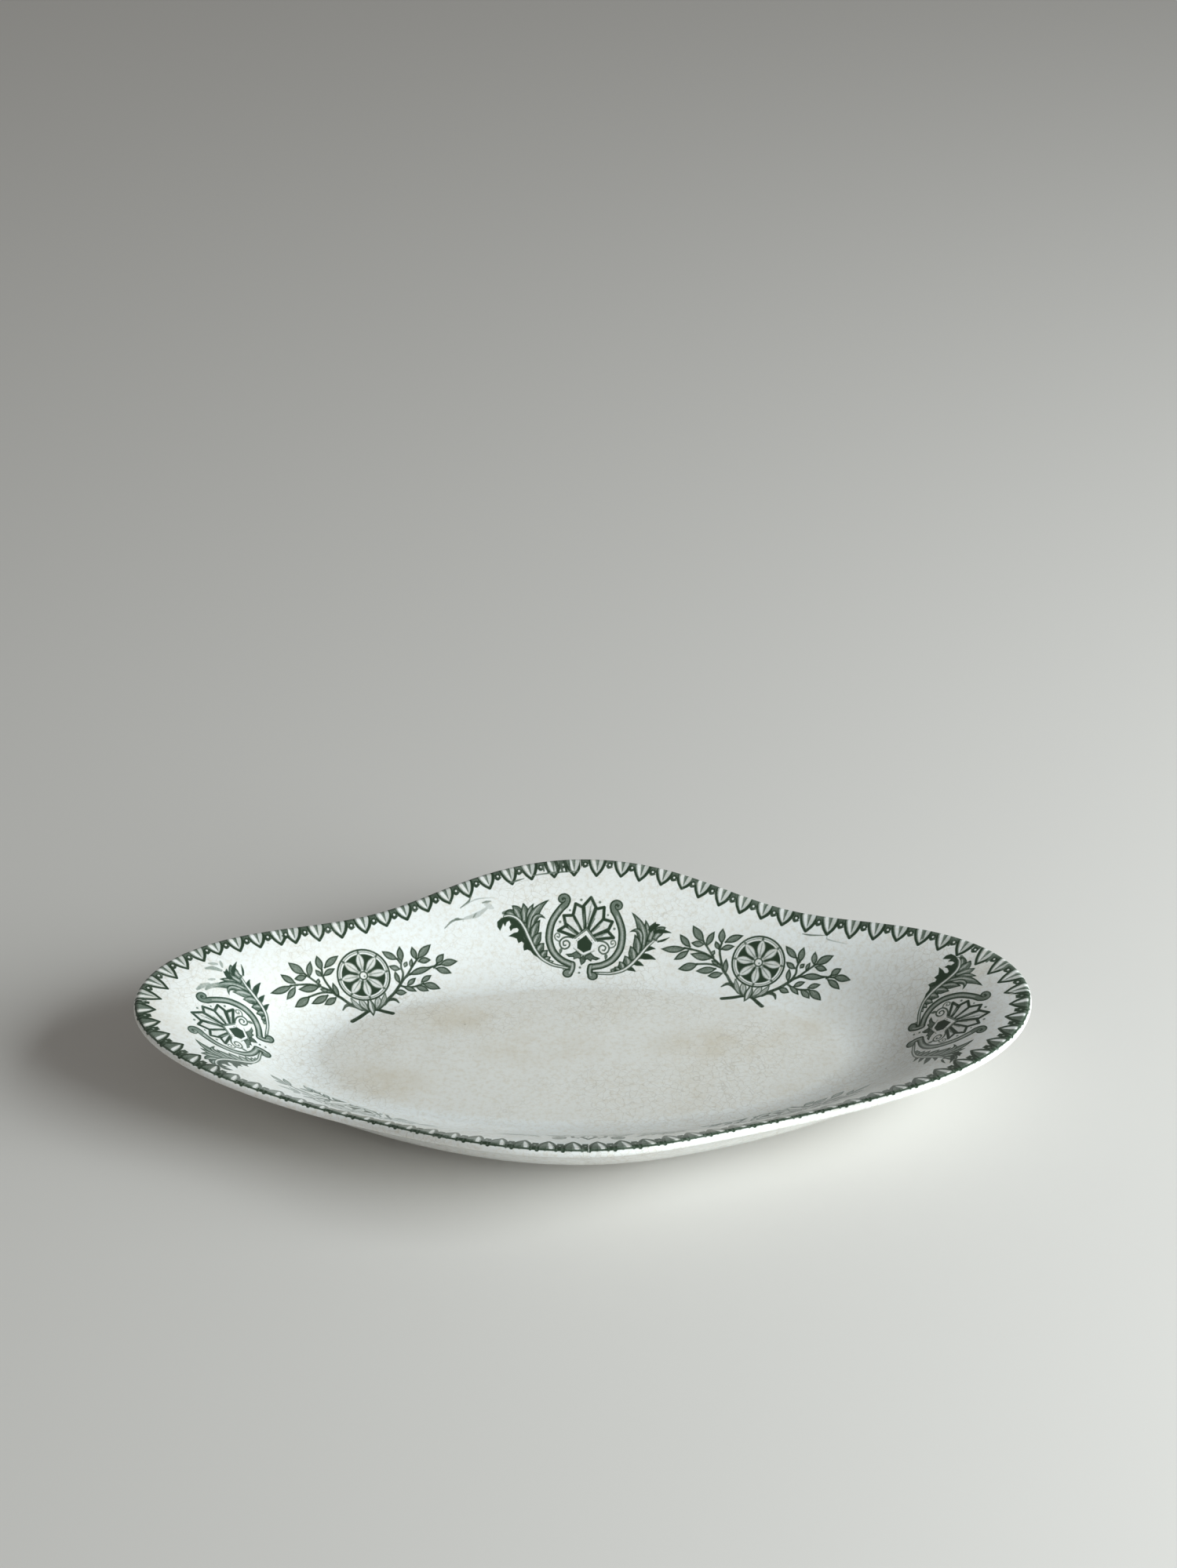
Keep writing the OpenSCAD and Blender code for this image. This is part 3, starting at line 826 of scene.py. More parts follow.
    def _fan(self, plate: Plate) -> None:
        """Draws the seven petals: heavy outlines, pale inside, shaded along the right side.

        Args:
            plate: the plate.
        """
        petals = [corners * side.flip for side in Side for corners in self.petals]
        petals.append(np.array(self.crown))
        for outline in petals:
            plate.stroke(np.vstack([outline, outline[:1]]), self.petal_rim)
        for outline in petals:
            plate.area(outline, self.petal_fill)
            foot = outline[[0, -1]].mean(0)
            reach = outline[len(outline) // 2] - foot
            across = unit(np.array([reach[1], -reach[0]]))
            start = foot + self.petal_shade_start * reach
            for share, tone, aside in self.petal_shades:
                end = foot + share * reach + aside * across
                plate.stroke(np.array([start, end]), Line(self.petal_shade_width, tone))

    def _heart(self, plate: Plate) -> None:
        """Draws the roof, the heart, the collar, the trio of leaves and the dots between the heels.

        Args:
            plate: the plate.
        """
        plate.stroke(self.roof, self.roof_gap)
        plate.stroke(np.add(self.roof, self.roof_line_up), self.roof_line)
        plate.area(self.heart, self.heart_fill)
        plate.stroke(smooth(self.collar), self.collar_line)
        for side in Side:
            plate.area(self.side_leaf * side.flip, self.side_leaf_fill)
        leaf = self.plain_form.outline(bow(*self.middle_leaf), self.middle_leaf_width)
        plate.area(leaf, self.middle_leaf_fill)
        for x, y, r in self.low_dots:
            plate.area(circle((x, y), r, self.dot_steps), self.low_dot_fill)


@dataclass
class Rosette:
    """A rosette in a ring over two crossed laurel sprays.

    Points and widths are in squares of the drawing, counted from the middle of the ring.
    """

    square: float = 16.2 / 16
    step: float = 0.15
    softness: float = 0.3
    low: Point = (-30.0, -16.4)
    high: Point = (30.0, 10.2)

    # The ring with its wedges, petals and hub
    ring_r: float = 7.85
    ring_fill: Fill = Fill(0.05, 0.48, 0.9)
    inner_ring_r: float = 6.95
    inner_ring_line: Line = Line(0.3, 0.46)
    wedge_r: float = 6.3
    wedge_fill: Fill = Fill(Tone.DARK)
    petal_count: int = 8
    petal_run: tuple = (0.9, 4.0, 7.0)
    petal_width: float = 2.5
    petal_form: LeafForm = LeafForm(0.55, 0.45)
    petal_fill: Fill = Fill(0.15, 0.24, 0.5)
    petal_rib: Line = Line((0.4, 0.2), 0.42)
    tick_run: tuple = (6.7, 7.4)
    tick_line: Line = Line(0.45, Tone.DEEP)
    hub_r: float = 1.3
    hub_fill: Fill = Fill(0.06, 0.32, 0.85)
    hub_dot: Point = (0.25, -0.25)
    hub_dot_r: float = 0.3
    hub_dot_steps: int = 12
    hub_dot_fill: Fill = Fill(0.5)

    # The leafy cluster under the ring. Each lobe: foot, lean, tip and width
    calyx: tuple = (
        ((-5.4, -6.0), (-4.86, -8.8), (-2.49, -11.6), 1.5),
        ((4.6, -6.4), (4.14, -8.8), (1.01, -11.6), 1.5),
        ((-3.0, -6.6), (-2.7, -8.8), (-1.65, -11.6), 2.0),
        ((2.4, -7.0), (2.16, -8.8), (0.24, -11.6), 2.0),
    )
    calyx_form: LeafForm = LeafForm(0.45, 0.4)
    calyx_fill: Fill = Fill(0.22, 0.3, 0.66)
    calyx_rib: Line = Line((0.2, 0.35, 0.1), 0.42)
    pod: Path = ((-0.5, -7.2), (-0.3, -10.5), (-1.1, -13.9))
    pod_width: float = 2.2
    pod_form: LeafForm = LeafForm(0.45, 0.6)
    pod_fill: Fill = Fill(0.16, 0.42, 0.82)
    pod_rib: Line = Line((0.25, 0.5, 0.2), 0.5)
    pod_rib_aside: Point = (0.35, 0.0)

    # The laurel sprays. Each leaf: foot, tip and width
    left_leaves: tuple = (
        ((-11.6, 3.6), (-12.1, 8.1), 2.0), ((-10.8, 4.1), (-5.8, 7.0), 2.0),
        ((-12.0, 1.8), (-13.5, 4.1), 1.4), ((-11.6, 1.9), (-7.7, 3.5), 1.6),
        ((-16.8, 3.3), (-20.9, 7.4), 2.4), ((-15.8, 2.1), (-14.3, 6.8), 1.8),
        ((-16.5, 2.6), (-20.4, 2.3), 1.8), ((-13.7, -0.3), (-13.2, 1.4), 1.1),
        ((-20.3, 1.0), (-24.1, 4.2), 1.9), ((-21.6, 0.4), (-28.7, -1.1), 2.0),
        ((-20.6, 0.0), (-24.3, -3.6), 1.8), ((-13.5, -1.0), (-20.0, -0.9), 2.2),
        ((-17.2, -3.5), (-22.5, -6.2), 2.4), ((-11.6, -3.9), (-17.3, -5.8), 2.1),
        ((-9.5, -5.0), (-13.6, -6.7), 2.0), ((-8.6, -5.0), (-9.4, -0.4), 1.5),
        ((-11.2, -2.6), (-13.6, -1.7), 1.2),
    )
    left_stems: tuple[Path, ...] = (
        ((-2.0, -11.1), (-3.6, -9.8), (-5.0, -8.7), (-6.5, -7.5), (-8.0, -5.6), (-9.6, -4.0), (-10.5, -2.0)),
        ((-10.5, -2.0), (-11.5, 0.5), (-11.8, 2.2), (-11.6, 3.8)),
        ((-13.2, -0.9), (-16.5, 0.1), (-20.4, 0.5)), ((-20.0, 0.4), (-22.0, 0.5)),
        ((-13.2, -0.6), (-14.6, 0.9), (-16.8, 3.2)), ((-10.2, -3.0), (-13.4, -0.9)),
        ((-9.9, -3.5), (-12.2, -3.0), (-14.4, -3.0), (-17.4, -3.6)),
    )
    right_leaves: tuple = (
        ((10.9, 2.8), (6.9, 6.0), 1.9), ((11.9, 1.8), (12.3, 6.4), 1.9),
        ((11.0, -0.2), (7.9, 1.4), 1.6), ((12.3, 0.1), (13.4, 1.6), 1.2),
        ((16.2, 1.6), (15.8, 5.6), 1.7), ((16.6, 1.7), (21.4, 5.1), 2.2),
        ((16.5, 1.0), (20.3, 0.6), 1.8), ((14.1, -0.3), (15.0, 2.2), 1.1),
        ((21.6, -0.9), (24.4, 1.6), 1.9), ((22.4, -1.3), (27.8, -1.5), 2.1),
        ((20.9, -2.1), (25.1, -4.7), 2.0), ((13.0, -2.4), (20.0, -1.7), 1.9),
        ((11.5, -5.7), (14.7, -3.7), 1.5), ((15.7, -5.5), (19.3, -3.9), 1.6),
        ((16.1, -6.0), (20.5, -8.9), 2.3), ((13.8, -6.3), (17.1, -8.8), 1.9),
        ((10.3, -5.6), (13.7, -8.1), 1.5), ((7.5, -7.0), (10.8, -7.8), 1.9),
        ((9.7, -4.4), (9.3, -0.4), 1.4),
    )
    right_stems: tuple[Path, ...] = (
        ((1.6, -11.2), (3.4, -9.9), (5.3, -8.4), (7.4, -6.9), (9.4, -5.0), (11.0, -3.4), (12.6, -2.4)),
        ((10.4, -4.0), (11.4, -1.6), (11.3, 0.2), (11.7, 1.8)),
        ((12.4, -2.4), (17.6, -1.6), (22.6, -1.3)), ((12.2, -2.6), (14.2, -0.5), (16.6, 1.8)),
        ((11.4, 1.6), (10.8, 2.9)), ((20.6, -1.8), (21.8, -0.8)),
        ((9.4, -5.0), (11.4, -6.0), (13.6, -6.3), (16.3, -5.9)),
    )
    left_tail: Path = ((0.6, -10.9), (-2.2, -11.7), (-4.8, -13.0), (-7.4, -14.1))
    right_tail: Path = ((-1.8, -10.6), (1.0, -11.8), (2.8, -13.2), (4.4, -14.5))
    left_thorn: Path = ((-3.4, -10.6), (-4.7, -9.2), (-6.2, -8.2), (-7.5, -8.2), (-8.8, -9.4))
    right_thorn: Path = ((3.4, -10.2), (4.6, -9.1), (5.8, -8.9), (6.9, -9.4), (7.5, -10.7))
    tail_line: Line = Line((0.8, 1.0, 1.25, 1.3), 0.86)
    thorn_line: Line = Line((0.9, 1.1, 1.2, 1.0, 0.4), 0.74)
    main_stem: Line = Line((1.0, 0.9, 0.7), 0.8)
    side_stem: Line = Line((0.65, 0.55), 0.8)
    leaf_share: float = 1.08
    leaf_bend: float = 0.06
    leaf_form: LeafForm = LeafForm(0.48, 0.2)
    leaf_fill: Fill = Fill(0.52, 0.34, 0.9)
    leaf_light: Line = Line((0.2, 0.42, 0.12), 0.44)
    leaf_light_aside: float = 0.12

    def engrave(self) -> Plate:
        """Draws the sprays, then the calyx, then the ring with its rosette.

        Returns:
            The plate.
        """
        plate = Plate(self.low, self.high, self.step, self.softness)
        self._spray(plate, self.left_leaves, self.left_stems, self.left_tail, self.left_thorn)
        self._spray(plate, self.right_leaves, self.right_stems, self.right_tail, self.right_thorn)
        self._calyx(plate)
        self._ring(plate)
        return plate

    def _spray(self, plate: Plate, leaves: tuple, stems: tuple, tail: Path, thorn: Path) -> None:
        """Draws one laurel spray: stems, then leaves with a darker edge and a pale half.

        Args:
            plate: the plate.
            leaves: foot, tip and width of each leaf.
            stems: the main stem and the side stems.
            tail: the stem's end below the crossing.
            thorn: the hooked twig beside the calyx.
        """
        plate.stroke(smooth(tail), self.tail_line)
        plate.stroke(smooth(thorn), self.thorn_line)
        plate.stroke(smooth(stems[0]), self.main_stem)
        for stem in stems[1:]:
            plate.stroke(smooth(stem), self.side_stem)
        for foot, tip, width in leaves:
            reach = np.subtract(tip, foot)
            aside = np.array([-reach[1], reach[0]])
            rib = bow(foot, np.add(foot, tip) / 2 + self.leaf_bend * aside, tip)
            plate.area(self.leaf_form.outline(rib, self.leaf_share * width), self.leaf_fill)
            light = rib[3:-4] + self.leaf_light_aside * width * unit(aside)
            plate.stroke(light, self.leaf_light)

    def _calyx(self, plate: Plate) -> None:
        """Draws the leafy cluster under the ring, with a pointed pod in the middle.

        Args:
            plate: the plate.
        """
        for foot, lean, tip, width in self.calyx:
            lobe = bow(foot, lean, tip)
            plate.area(self.calyx_form.outline(lobe, width), self.calyx_fill)
            plate.stroke(lobe[3:-3], self.calyx_rib)
        pod = bow(*self.pod)
        plate.area(self.pod_form.outline(pod, self.pod_width), self.pod_fill)
        plate.stroke(pod[2:-2] + self.pod_rib_aside, self.pod_rib)

    def _ring(self, plate: Plate) -> None:
        """Draws a double ring, dark wedges and pale petals round a ball.

        Args:
            plate: the plate.
        """
        middle = (0.0, 0.0)
        plate.area(circle(middle, self.ring_r), self.ring_fill)
        plate.stroke(circle(middle, self.inner_ring_r), self.inner_ring_line)
        plate.area(circle(middle, self.wedge_r), self.wedge_fill)
        for turn in turns(self.petal_count)[0]:
            way = np.array([math.sin(turn), math.cos(turn)])
            rib = bow(*(r * way for r in self.petal_run))
            plate.area(self.petal_form.outline(rib, self.petal_width), self.petal_fill)
            plate.stroke(rib[2:-3], self.petal_rib)
            plate.stroke(np.outer(self.tick_run, way), self.tick_line)
        plate.area(circle(middle, self.hub_r), self.hub_fill)
        plate.area(circle(self.hub_dot, self.hub_dot_r, self.hub_dot_steps), self.hub_dot_fill)


@dataclass(frozen=True)
class BorderHalf:
    """What differs between the border's back and front: how far it goes over the lip, and its inks.

    The gap is the ink between two leaf tips, given by its lower edge and its tone. The fill is that of
    a leaf tip's dark half, and the eye is that of a bead.
    """

    over_lip: float
    gap_low: float
    gap_tone: float
    fill: Fill
    eye: Fill


@dataclass
class LeafTipBorder:
    """The border of leaf tips along the rim, with a bead between each two.

    Points are in millimetres: the run along the rim, and the depth under it.
    """

    pitch: float = 6.7
    half: float = 2.45
    step: float = 0.155
    softness: float = 0.3
    deepest: float = 17.0
    above: float = 0.6
    strip_gap: float = 0.02
    spill: float = 1.0
    back: BorderHalf = BorderHalf(
        over_lip=1.3, gap_low=1.2, gap_tone=0.68, fill=Fill(0.22), eye=Fill(0.06, 0.45, 0.9)
    )
    front: BorderHalf = BorderHalf(
        over_lip=1.1, gap_low=2.8, gap_tone=0.86, fill=Fill(0.6), eye=Fill(0.4, 0.45, 0.9)
    )
    front_depth: float = 4.3
    front_drift: Point = (0.2, 0.3)
    front_seed: int = 40
    front_rim_line: Line = Line(0.5, 0.8)
    front_rim_down: float = 0.1
    # Half width of the gap's ink at its top and at its lower edge
    gap_half: Point = (1.1, 0.8)
    # The tips along the back, where the strips were pieced together by hand: run and depth
    back_tips: Path = (
        (1.2, 5.4), (7.9, 5.6), (14.3, 5.8), (21.1, 5.3), (28.9, 4.8), (35.7, 4.7), (42.4, 4.4),
        (49.4, 4.1), (56.5, 4.4), (63.6, 4.7), (70.4, 4.4), (76.8, 4.3), (84.0, 3.9), (90.4, 3.7),
        (96.9, 4.2), (103.5, 4.3), (110.2, 4.3), (115.9, 3.6), (122.4, 4.3), (129.3, 4.7),
        (135.2, 4.4), (142.9, 4.9), (150.0, 4.8), (156.3, 4.9), (163.5, 4.5), (169.8, 4.6),
        (176.9, 3.9), (183.6, 4.2), (190.0, 3.7), (196.9, 3.4), (203.6, 3.5), (209.9, 3.4),
        (216.3, 3.9), (223.5, 4.0), (230.3, 4.0), (237.4, 3.9), (241.8, 3.9), (248.3, 3.8),
        (254.8, 3.9), (261.3, 3.4), (267.2, 3.9), (273.7, 4.2), (279.7, 5.0), (286.4, 5.6),
        (293.0, 5.4),
    )
    # Stray marks that the transfer left under the border: points, width and tone
    strays: tuple = (
        (((77.4, 5.3), (75.2, 5.3), (71.0, 4.8)), 0.55, 0.5),
        (((70.2, 5.0), (69.6, 5.9), (64.0, 6.6)), 0.5, 0.3),
        (((183.4, 4.4), (184.6, 5.5), (187.6, 6.3)), 0.7, 0.5),
        (((180.6, 7.3), (178.0, 7.7)), 0.9, 0.42),
        (((194.2, 9.8), (191.0, 8.8), (187.4, 9.7)), 0.7, 0.42),
        (((187.4, 9.5), (183.5, 9.9), (179.2, 9.0)), 1.6, 0.24),
        (((190.2, 8.6), (189.0, 9.2)), 0.8, 0.5),
        (((186.4, 6.2), (182.0, 5.7), (176.6, 7.1)), 0.5, 0.28),
        (((185.0, 10.2), (183.6, 9.4)), 0.5, 0.4), (((180.0, 8.0), (178.0, 9.8)), 1.8, 0.2),
        (((170.6, 4.2), (165.8, 3.9)), 0.6, 0.55), (((162.8, 3.5), (148.4, 3.6)), 0.7, 0.5),
    )
    stray_taper: tuple = (0.5, 1.0, 0.4)
    # Where the ink ran together between the tips: run, depth, width and tone of each smudge
    smudges: tuple = (
        (159.4, 2.6, 0.9, 0.7), (158.2, 3.2, 1.0, 0.82), (155.1, 3.6, 1.3, 0.88),
        (153.8, 3.3, 1.2, 0.74), (152.5, 3.4, 1.3, 0.88), (151.4, 3.0, 0.9, 0.7),
        (42.0, 2.2, 0.8, 0.6), (33.5, 2.6, 1.2, 0.75), (19.0, 3.0, 1.4, 0.6),
        (12.6, 2.6, 1.2, 0.55),
    )
    smudge_taper: tuple = (1.0, 1.0, 0.5)
    smudge_lean: float = 0.2

    # A leaf tip. Its flank: share of the half width, and depth or share of the tip's depth
    shoulder: Point = (0.94, 0.4)
    flank: Path = ((0.62, 0.58), (0.2, 0.9), (0.0, 1.0))
    tooth_fill: Fill = Fill(0.04)
    fold: tuple = (0.75, -0.6, -0.1)
    fold_depth: float = 0.72
    fold_fill: Fill = Fill(0.46)
    crease: Point = (-0.35, -0.15)
    crease_depth: float = 0.6
    crease_line: Line = Line((0.55, 0.4, 0.12), 0.66)
    left_line: Line = Line((0.7, 0.8, 0.75, 0.85), 0.92)
    right_line: Line = Line((1.05, 0.9, 0.75, 0.85), Tone.DARK)
    inner_line: Line = Line((0.3, 0.25, 0.0), 0.45)
    inner_aside: Point = (-0.62, 0.0)

    # A bead: two cords from the rim, a loop and a hook under it
    cord_half: Point = (0.75, 0.6)
    cord_low: float = 0.9
    cord_line: Line = Line((0.5, 0.4), 0.7)
    loop_half: Point = (0.8, 0.85)
    loop_depth: float = 1.05
    loop_steps: int = 24
    hook: Path = ((1.0, 1.3), (0.3, 2.1), (-0.8, 1.7))
    hook_line: Line = Line((0.4, 0.6, 0.3), 0.85)

    def engrave(self, bowl: Bowl, quarter: Quarter) -> Plate:
        """Draws one strip.

        Args:
            bowl: gives the rim's length.
            quarter: which strip.

        Returns:
            The plate, whose x runs along the rim and whose y is the depth.
        """
        start, end = (bowl.rim_length * (quarter.value + i) / len(Quarter) for i in (0, 1))
        at_back = quarter in (Quarter.BACK_RIGHT, Quarter.BACK_LEFT)
        kind = self.back if at_back else self.front
        top = -kind.over_lip
        low = (start + self.strip_gap, top - self.above)
        plate = Plate(low, (end - self.strip_gap, self.deepest), self.step, self.softness)
        tips = self._tips(bowl.rim_length)
        reach = self.half + self.spill
        for q, depth in tips[(tips[:, 0] > start - reach) & (tips[:, 0] < end + reach)]:
            self._tooth(plate, q, depth, kind)
        if not at_back:
            rim_line = top + self.front_rim_down
            plate.stroke(((start, rim_line), (end, rim_line)), self.front_rim_line)
        beads = (tips[1:, 0] + tips[:-1, 0]) / 2
        for q in beads[(beads > start - self.spill) & (beads < end + self.spill)]:
            self._bead(plate, q, kind)
        self._stray_marks(plate, start, end, top)
        return plate

    def _tips(self, rim_length: float) -> Array:
        """Places the tips round the rim: those of the back, then evenly spaced ones in front.

        Args:
            rim_length: length of the rim.

        Returns:
            Run and depth of each tip, shape (n, 2).
        """
        first, last = np.array(self.back_tips[0]), np.array(self.back_tips[-1])
        first = first + np.array([rim_length, 0.0])
        count = round((first[0] - last[0]) / self.pitch)
        rng = np.random.default_rng(self.front_seed)
        run_drift, depth_drift = self.front_drift
        runs = np.linspace(last[0], first[0], count + 1)[1:-1]
        runs = runs + rng.uniform(-run_drift, run_drift, count - 1)
        depths = self.front_depth + rng.uniform(-depth_drift, depth_drift, count - 1)
        return np.vstack([self.back_tips, np.stack([runs, depths], -1), first])

    def _tooth(self, plate: Plate, q: float, tip: float, kind: BorderHalf) -> None:
        """Draws one leaf tip: a heavy rounded V, white inside, with a grey fold down its middle.

        Args:
            plate: the strip's plate.
            q: run of its middle.
            tip: depth of its point.
            kind: the half of the border that it is on.
        """
        top = -kind.over_lip
        side = np.vstack([(1.0, top), self.shoulder, np.array(self.flank) * (1.0, tip)])
        left, right = (smooth((q, 0.0) + side * (way * self.half, 1.0)) for way in (1.0, -1.0))
        plate.area(np.vstack([left, right[::-1]]), self.tooth_fill)
        plate.area(np.vstack([right, [(q, tip), (q, top)]]), kind.fill)
        fold = zip(self.fold, (top, top, self.fold_depth * tip))
        plate.area(tuple((q + aside, depth) for aside, depth in fold), self.fold_fill)
        crease = zip(self.crease, (top, self.crease_depth * tip))
        plate.stroke(tuple((q + aside, depth) for aside, depth in crease), self.crease_line)
        plate.stroke(left, self.left_line)
        plate.stroke(right, self.right_line)
        plate.stroke(left + self.inner_aside, self.inner_line)

    def _bead(self, plate: Plate, q: float, kind: BorderHalf) -> None:
        """Draws the ink between two leaf tips and its bead: a dark loop with an eye, hung from the rim.

        Args:
            plate: the strip's plate.
            q: run of its middle.
            kind: the half of the border that it is on.
        """
        top, low = -kind.over_lip, kind.gap_low
        wide, narrow = self.gap_half
        gap = ((q + wide, top), (q - wide, top), (q - narrow, low), (q + narrow, low))
        plate.area(gap, Fill(kind.gap_tone))
        upper, lower = self.cord_half
        for way in (-1.0, 1.0):
            cord = ((q + way * upper, top), (q + way * lower, self.cord_low))
            plate.stroke(cord, self.cord_line)
        turn = turns(self.loop_steps)[0]
        loop = np.stack([np.cos(turn), np.sin(turn)], -1) * self.loop_half
        plate.area(loop + (q, self.loop_depth), kind.eye)
        plate.stroke(smooth(np.add(self.hook, (q, 0.0))), self.hook_line)

    def _stray_marks(self, plate: Plate, start: float, end: float, top: float) -> None:
        """Draws the strays and smudges of one strip.

        Args:
            plate: the strip's plate.
            start: run at which the strip starts.
            end: run at which it ends.
            top: depth at which the print begins.
        """
        for path, width, tone in self.strays:
            if start < path[0][0] < end:
                plate.stroke(smooth(path), Line(np.multiply(self.stray_taper, width), tone))
        for q, depth, width, tone in self.smudges:
            if start < q < end:
                path = ((q + self.smudge_lean, top), (q - self.smudge_lean, depth))
                plate.stroke(path, Line(np.multiply(self.smudge_taper, width), tone))


@dataclass(frozen=True)
class Noise:
    """A noise over the surface: features to the metre, detail and roughness."""

    scale: float
    detail: float
    roughness: float = 0.5


@dataclass(frozen=True)
class Patches:
    """Patches of noise, with the noise values at which they begin and are full."""

    noise: Noise
    low: float
    high: float


class Hand:
    """Lays nodes into a tree and links them. A value is a number, a colour or another node's output."""

    # Sockets of the colour mix: share, first colour and second colour, and the result
    MIX_IN = (0, 6, 7)
    MIX_OUT = 2

    def __init__(self, tree: bpy.types.NodeTree) -> None:
        """Keeps the tree to work on."""
        self.tree = tree

    def add(self, kind: str, **inputs: object) -> bpy.types.Node:
        """Adds a node and sets or links its named inputs.

        Args:
            kind: the node's type.
            inputs: values by socket name, with spaces in the name as underscores.

        Returns:
            The node.
        """
        node = self.tree.nodes.new(kind)
        for name, value in inputs.items():
            self.put(node.inputs[name.replace("_", " ")], value)
        return node

    def put(self, socket: Socket, value: object) -> None:
        """Sets a socket's value or links it.

        Args:
            socket: the input.
            value: a number, a colour or an output.
        """
        if isinstance(value, Socket):
            self.tree.links.new(value, socket)
        elif isinstance(value, tuple) and socket.type == "RGBA":
            socket.default_value = (*value, 1.0)
        else:
            socket.default_value = value

    def spot(self) -> Socket:
        """The place on the object, in metres."""
        return self.add("ShaderNodeTexCoord").outputs["Object"]

    def noise(self, spot: Socket, noise: Noise, output: str = "Fac") -> Socket:
        """A noise over the surface.

        Args:
            spot: the coordinates.
            noise: its grain.
            output: the value, Fac, or the three values, Color.

        Returns:
            The noise.
        """
        node = self.add("ShaderNodeTexNoise", Vector=spot, Scale=noise.scale, Detail=noise.detail)
        self.put(node.inputs["Roughness"], noise.roughness)
        return node.outputs[output]

    def ramp(self, value: Socket, low: float, high: float) -> Socket:
        """Brings a value smoothly from nothing to one.

        Args:
            value: the value.
            low: where it is nothing.
            high: where it is one, above or below.

        Returns:
            The share.
        """
        node = self.add("ShaderNodeMapRange", Value=value, From_Min=low, From_Max=high)
        node.interpolation_type = "SMOOTHSTEP"
        return node.outputs["Result"]

    def patches(self, spot: Socket, patches: Patches) -> Socket:
        """Patches of noise over the surface."""
        return self.ramp(self.noise(spot, patches.noise), patches.low, patches.high)

    def _worked(self, kind: str, operation: str, values: Sequence[object]) -> bpy.types.Node:
        """Adds a node that works out one operation.

        Args:
            kind: the node's type.
            operation: the operation.
            values: its inputs, in order.

        Returns:
            The node.
        """
        node = self.add(kind)
        node.operation = operation
        for socket, value in zip(node.inputs, values):
            self.put(socket, value)
        return node

    def maths(self, operation: str, *values: object) -> Socket:
        """One operation on two or three numbers."""
        return self._worked("ShaderNodeMath", operation, values).outputs["Value"]

    def vector(self, operation: str, *values: object) -> Socket:
        """One operation on vectors. A length comes back as a number."""
        node = self._worked("ShaderNodeVectorMath", operation, values)
        return node.outputs["Value" if operation == "LENGTH" else "Vector"]

    def mix(self, share: Socket, a: object, b: object) -> Socket:
        """A colour on the way from one to another.

        Args:
            share: how far.
            a: the first colour.
            b: the second colour.

        Returns:
            The colour.
        """
        node = self.add("ShaderNodeMix")
        node.data_type = "RGBA"
        for index, value in zip(self.MIX_IN, (share, a, b)):
            self.put(node.inputs[index], value)
        return node.outputs[self.MIX_OUT]


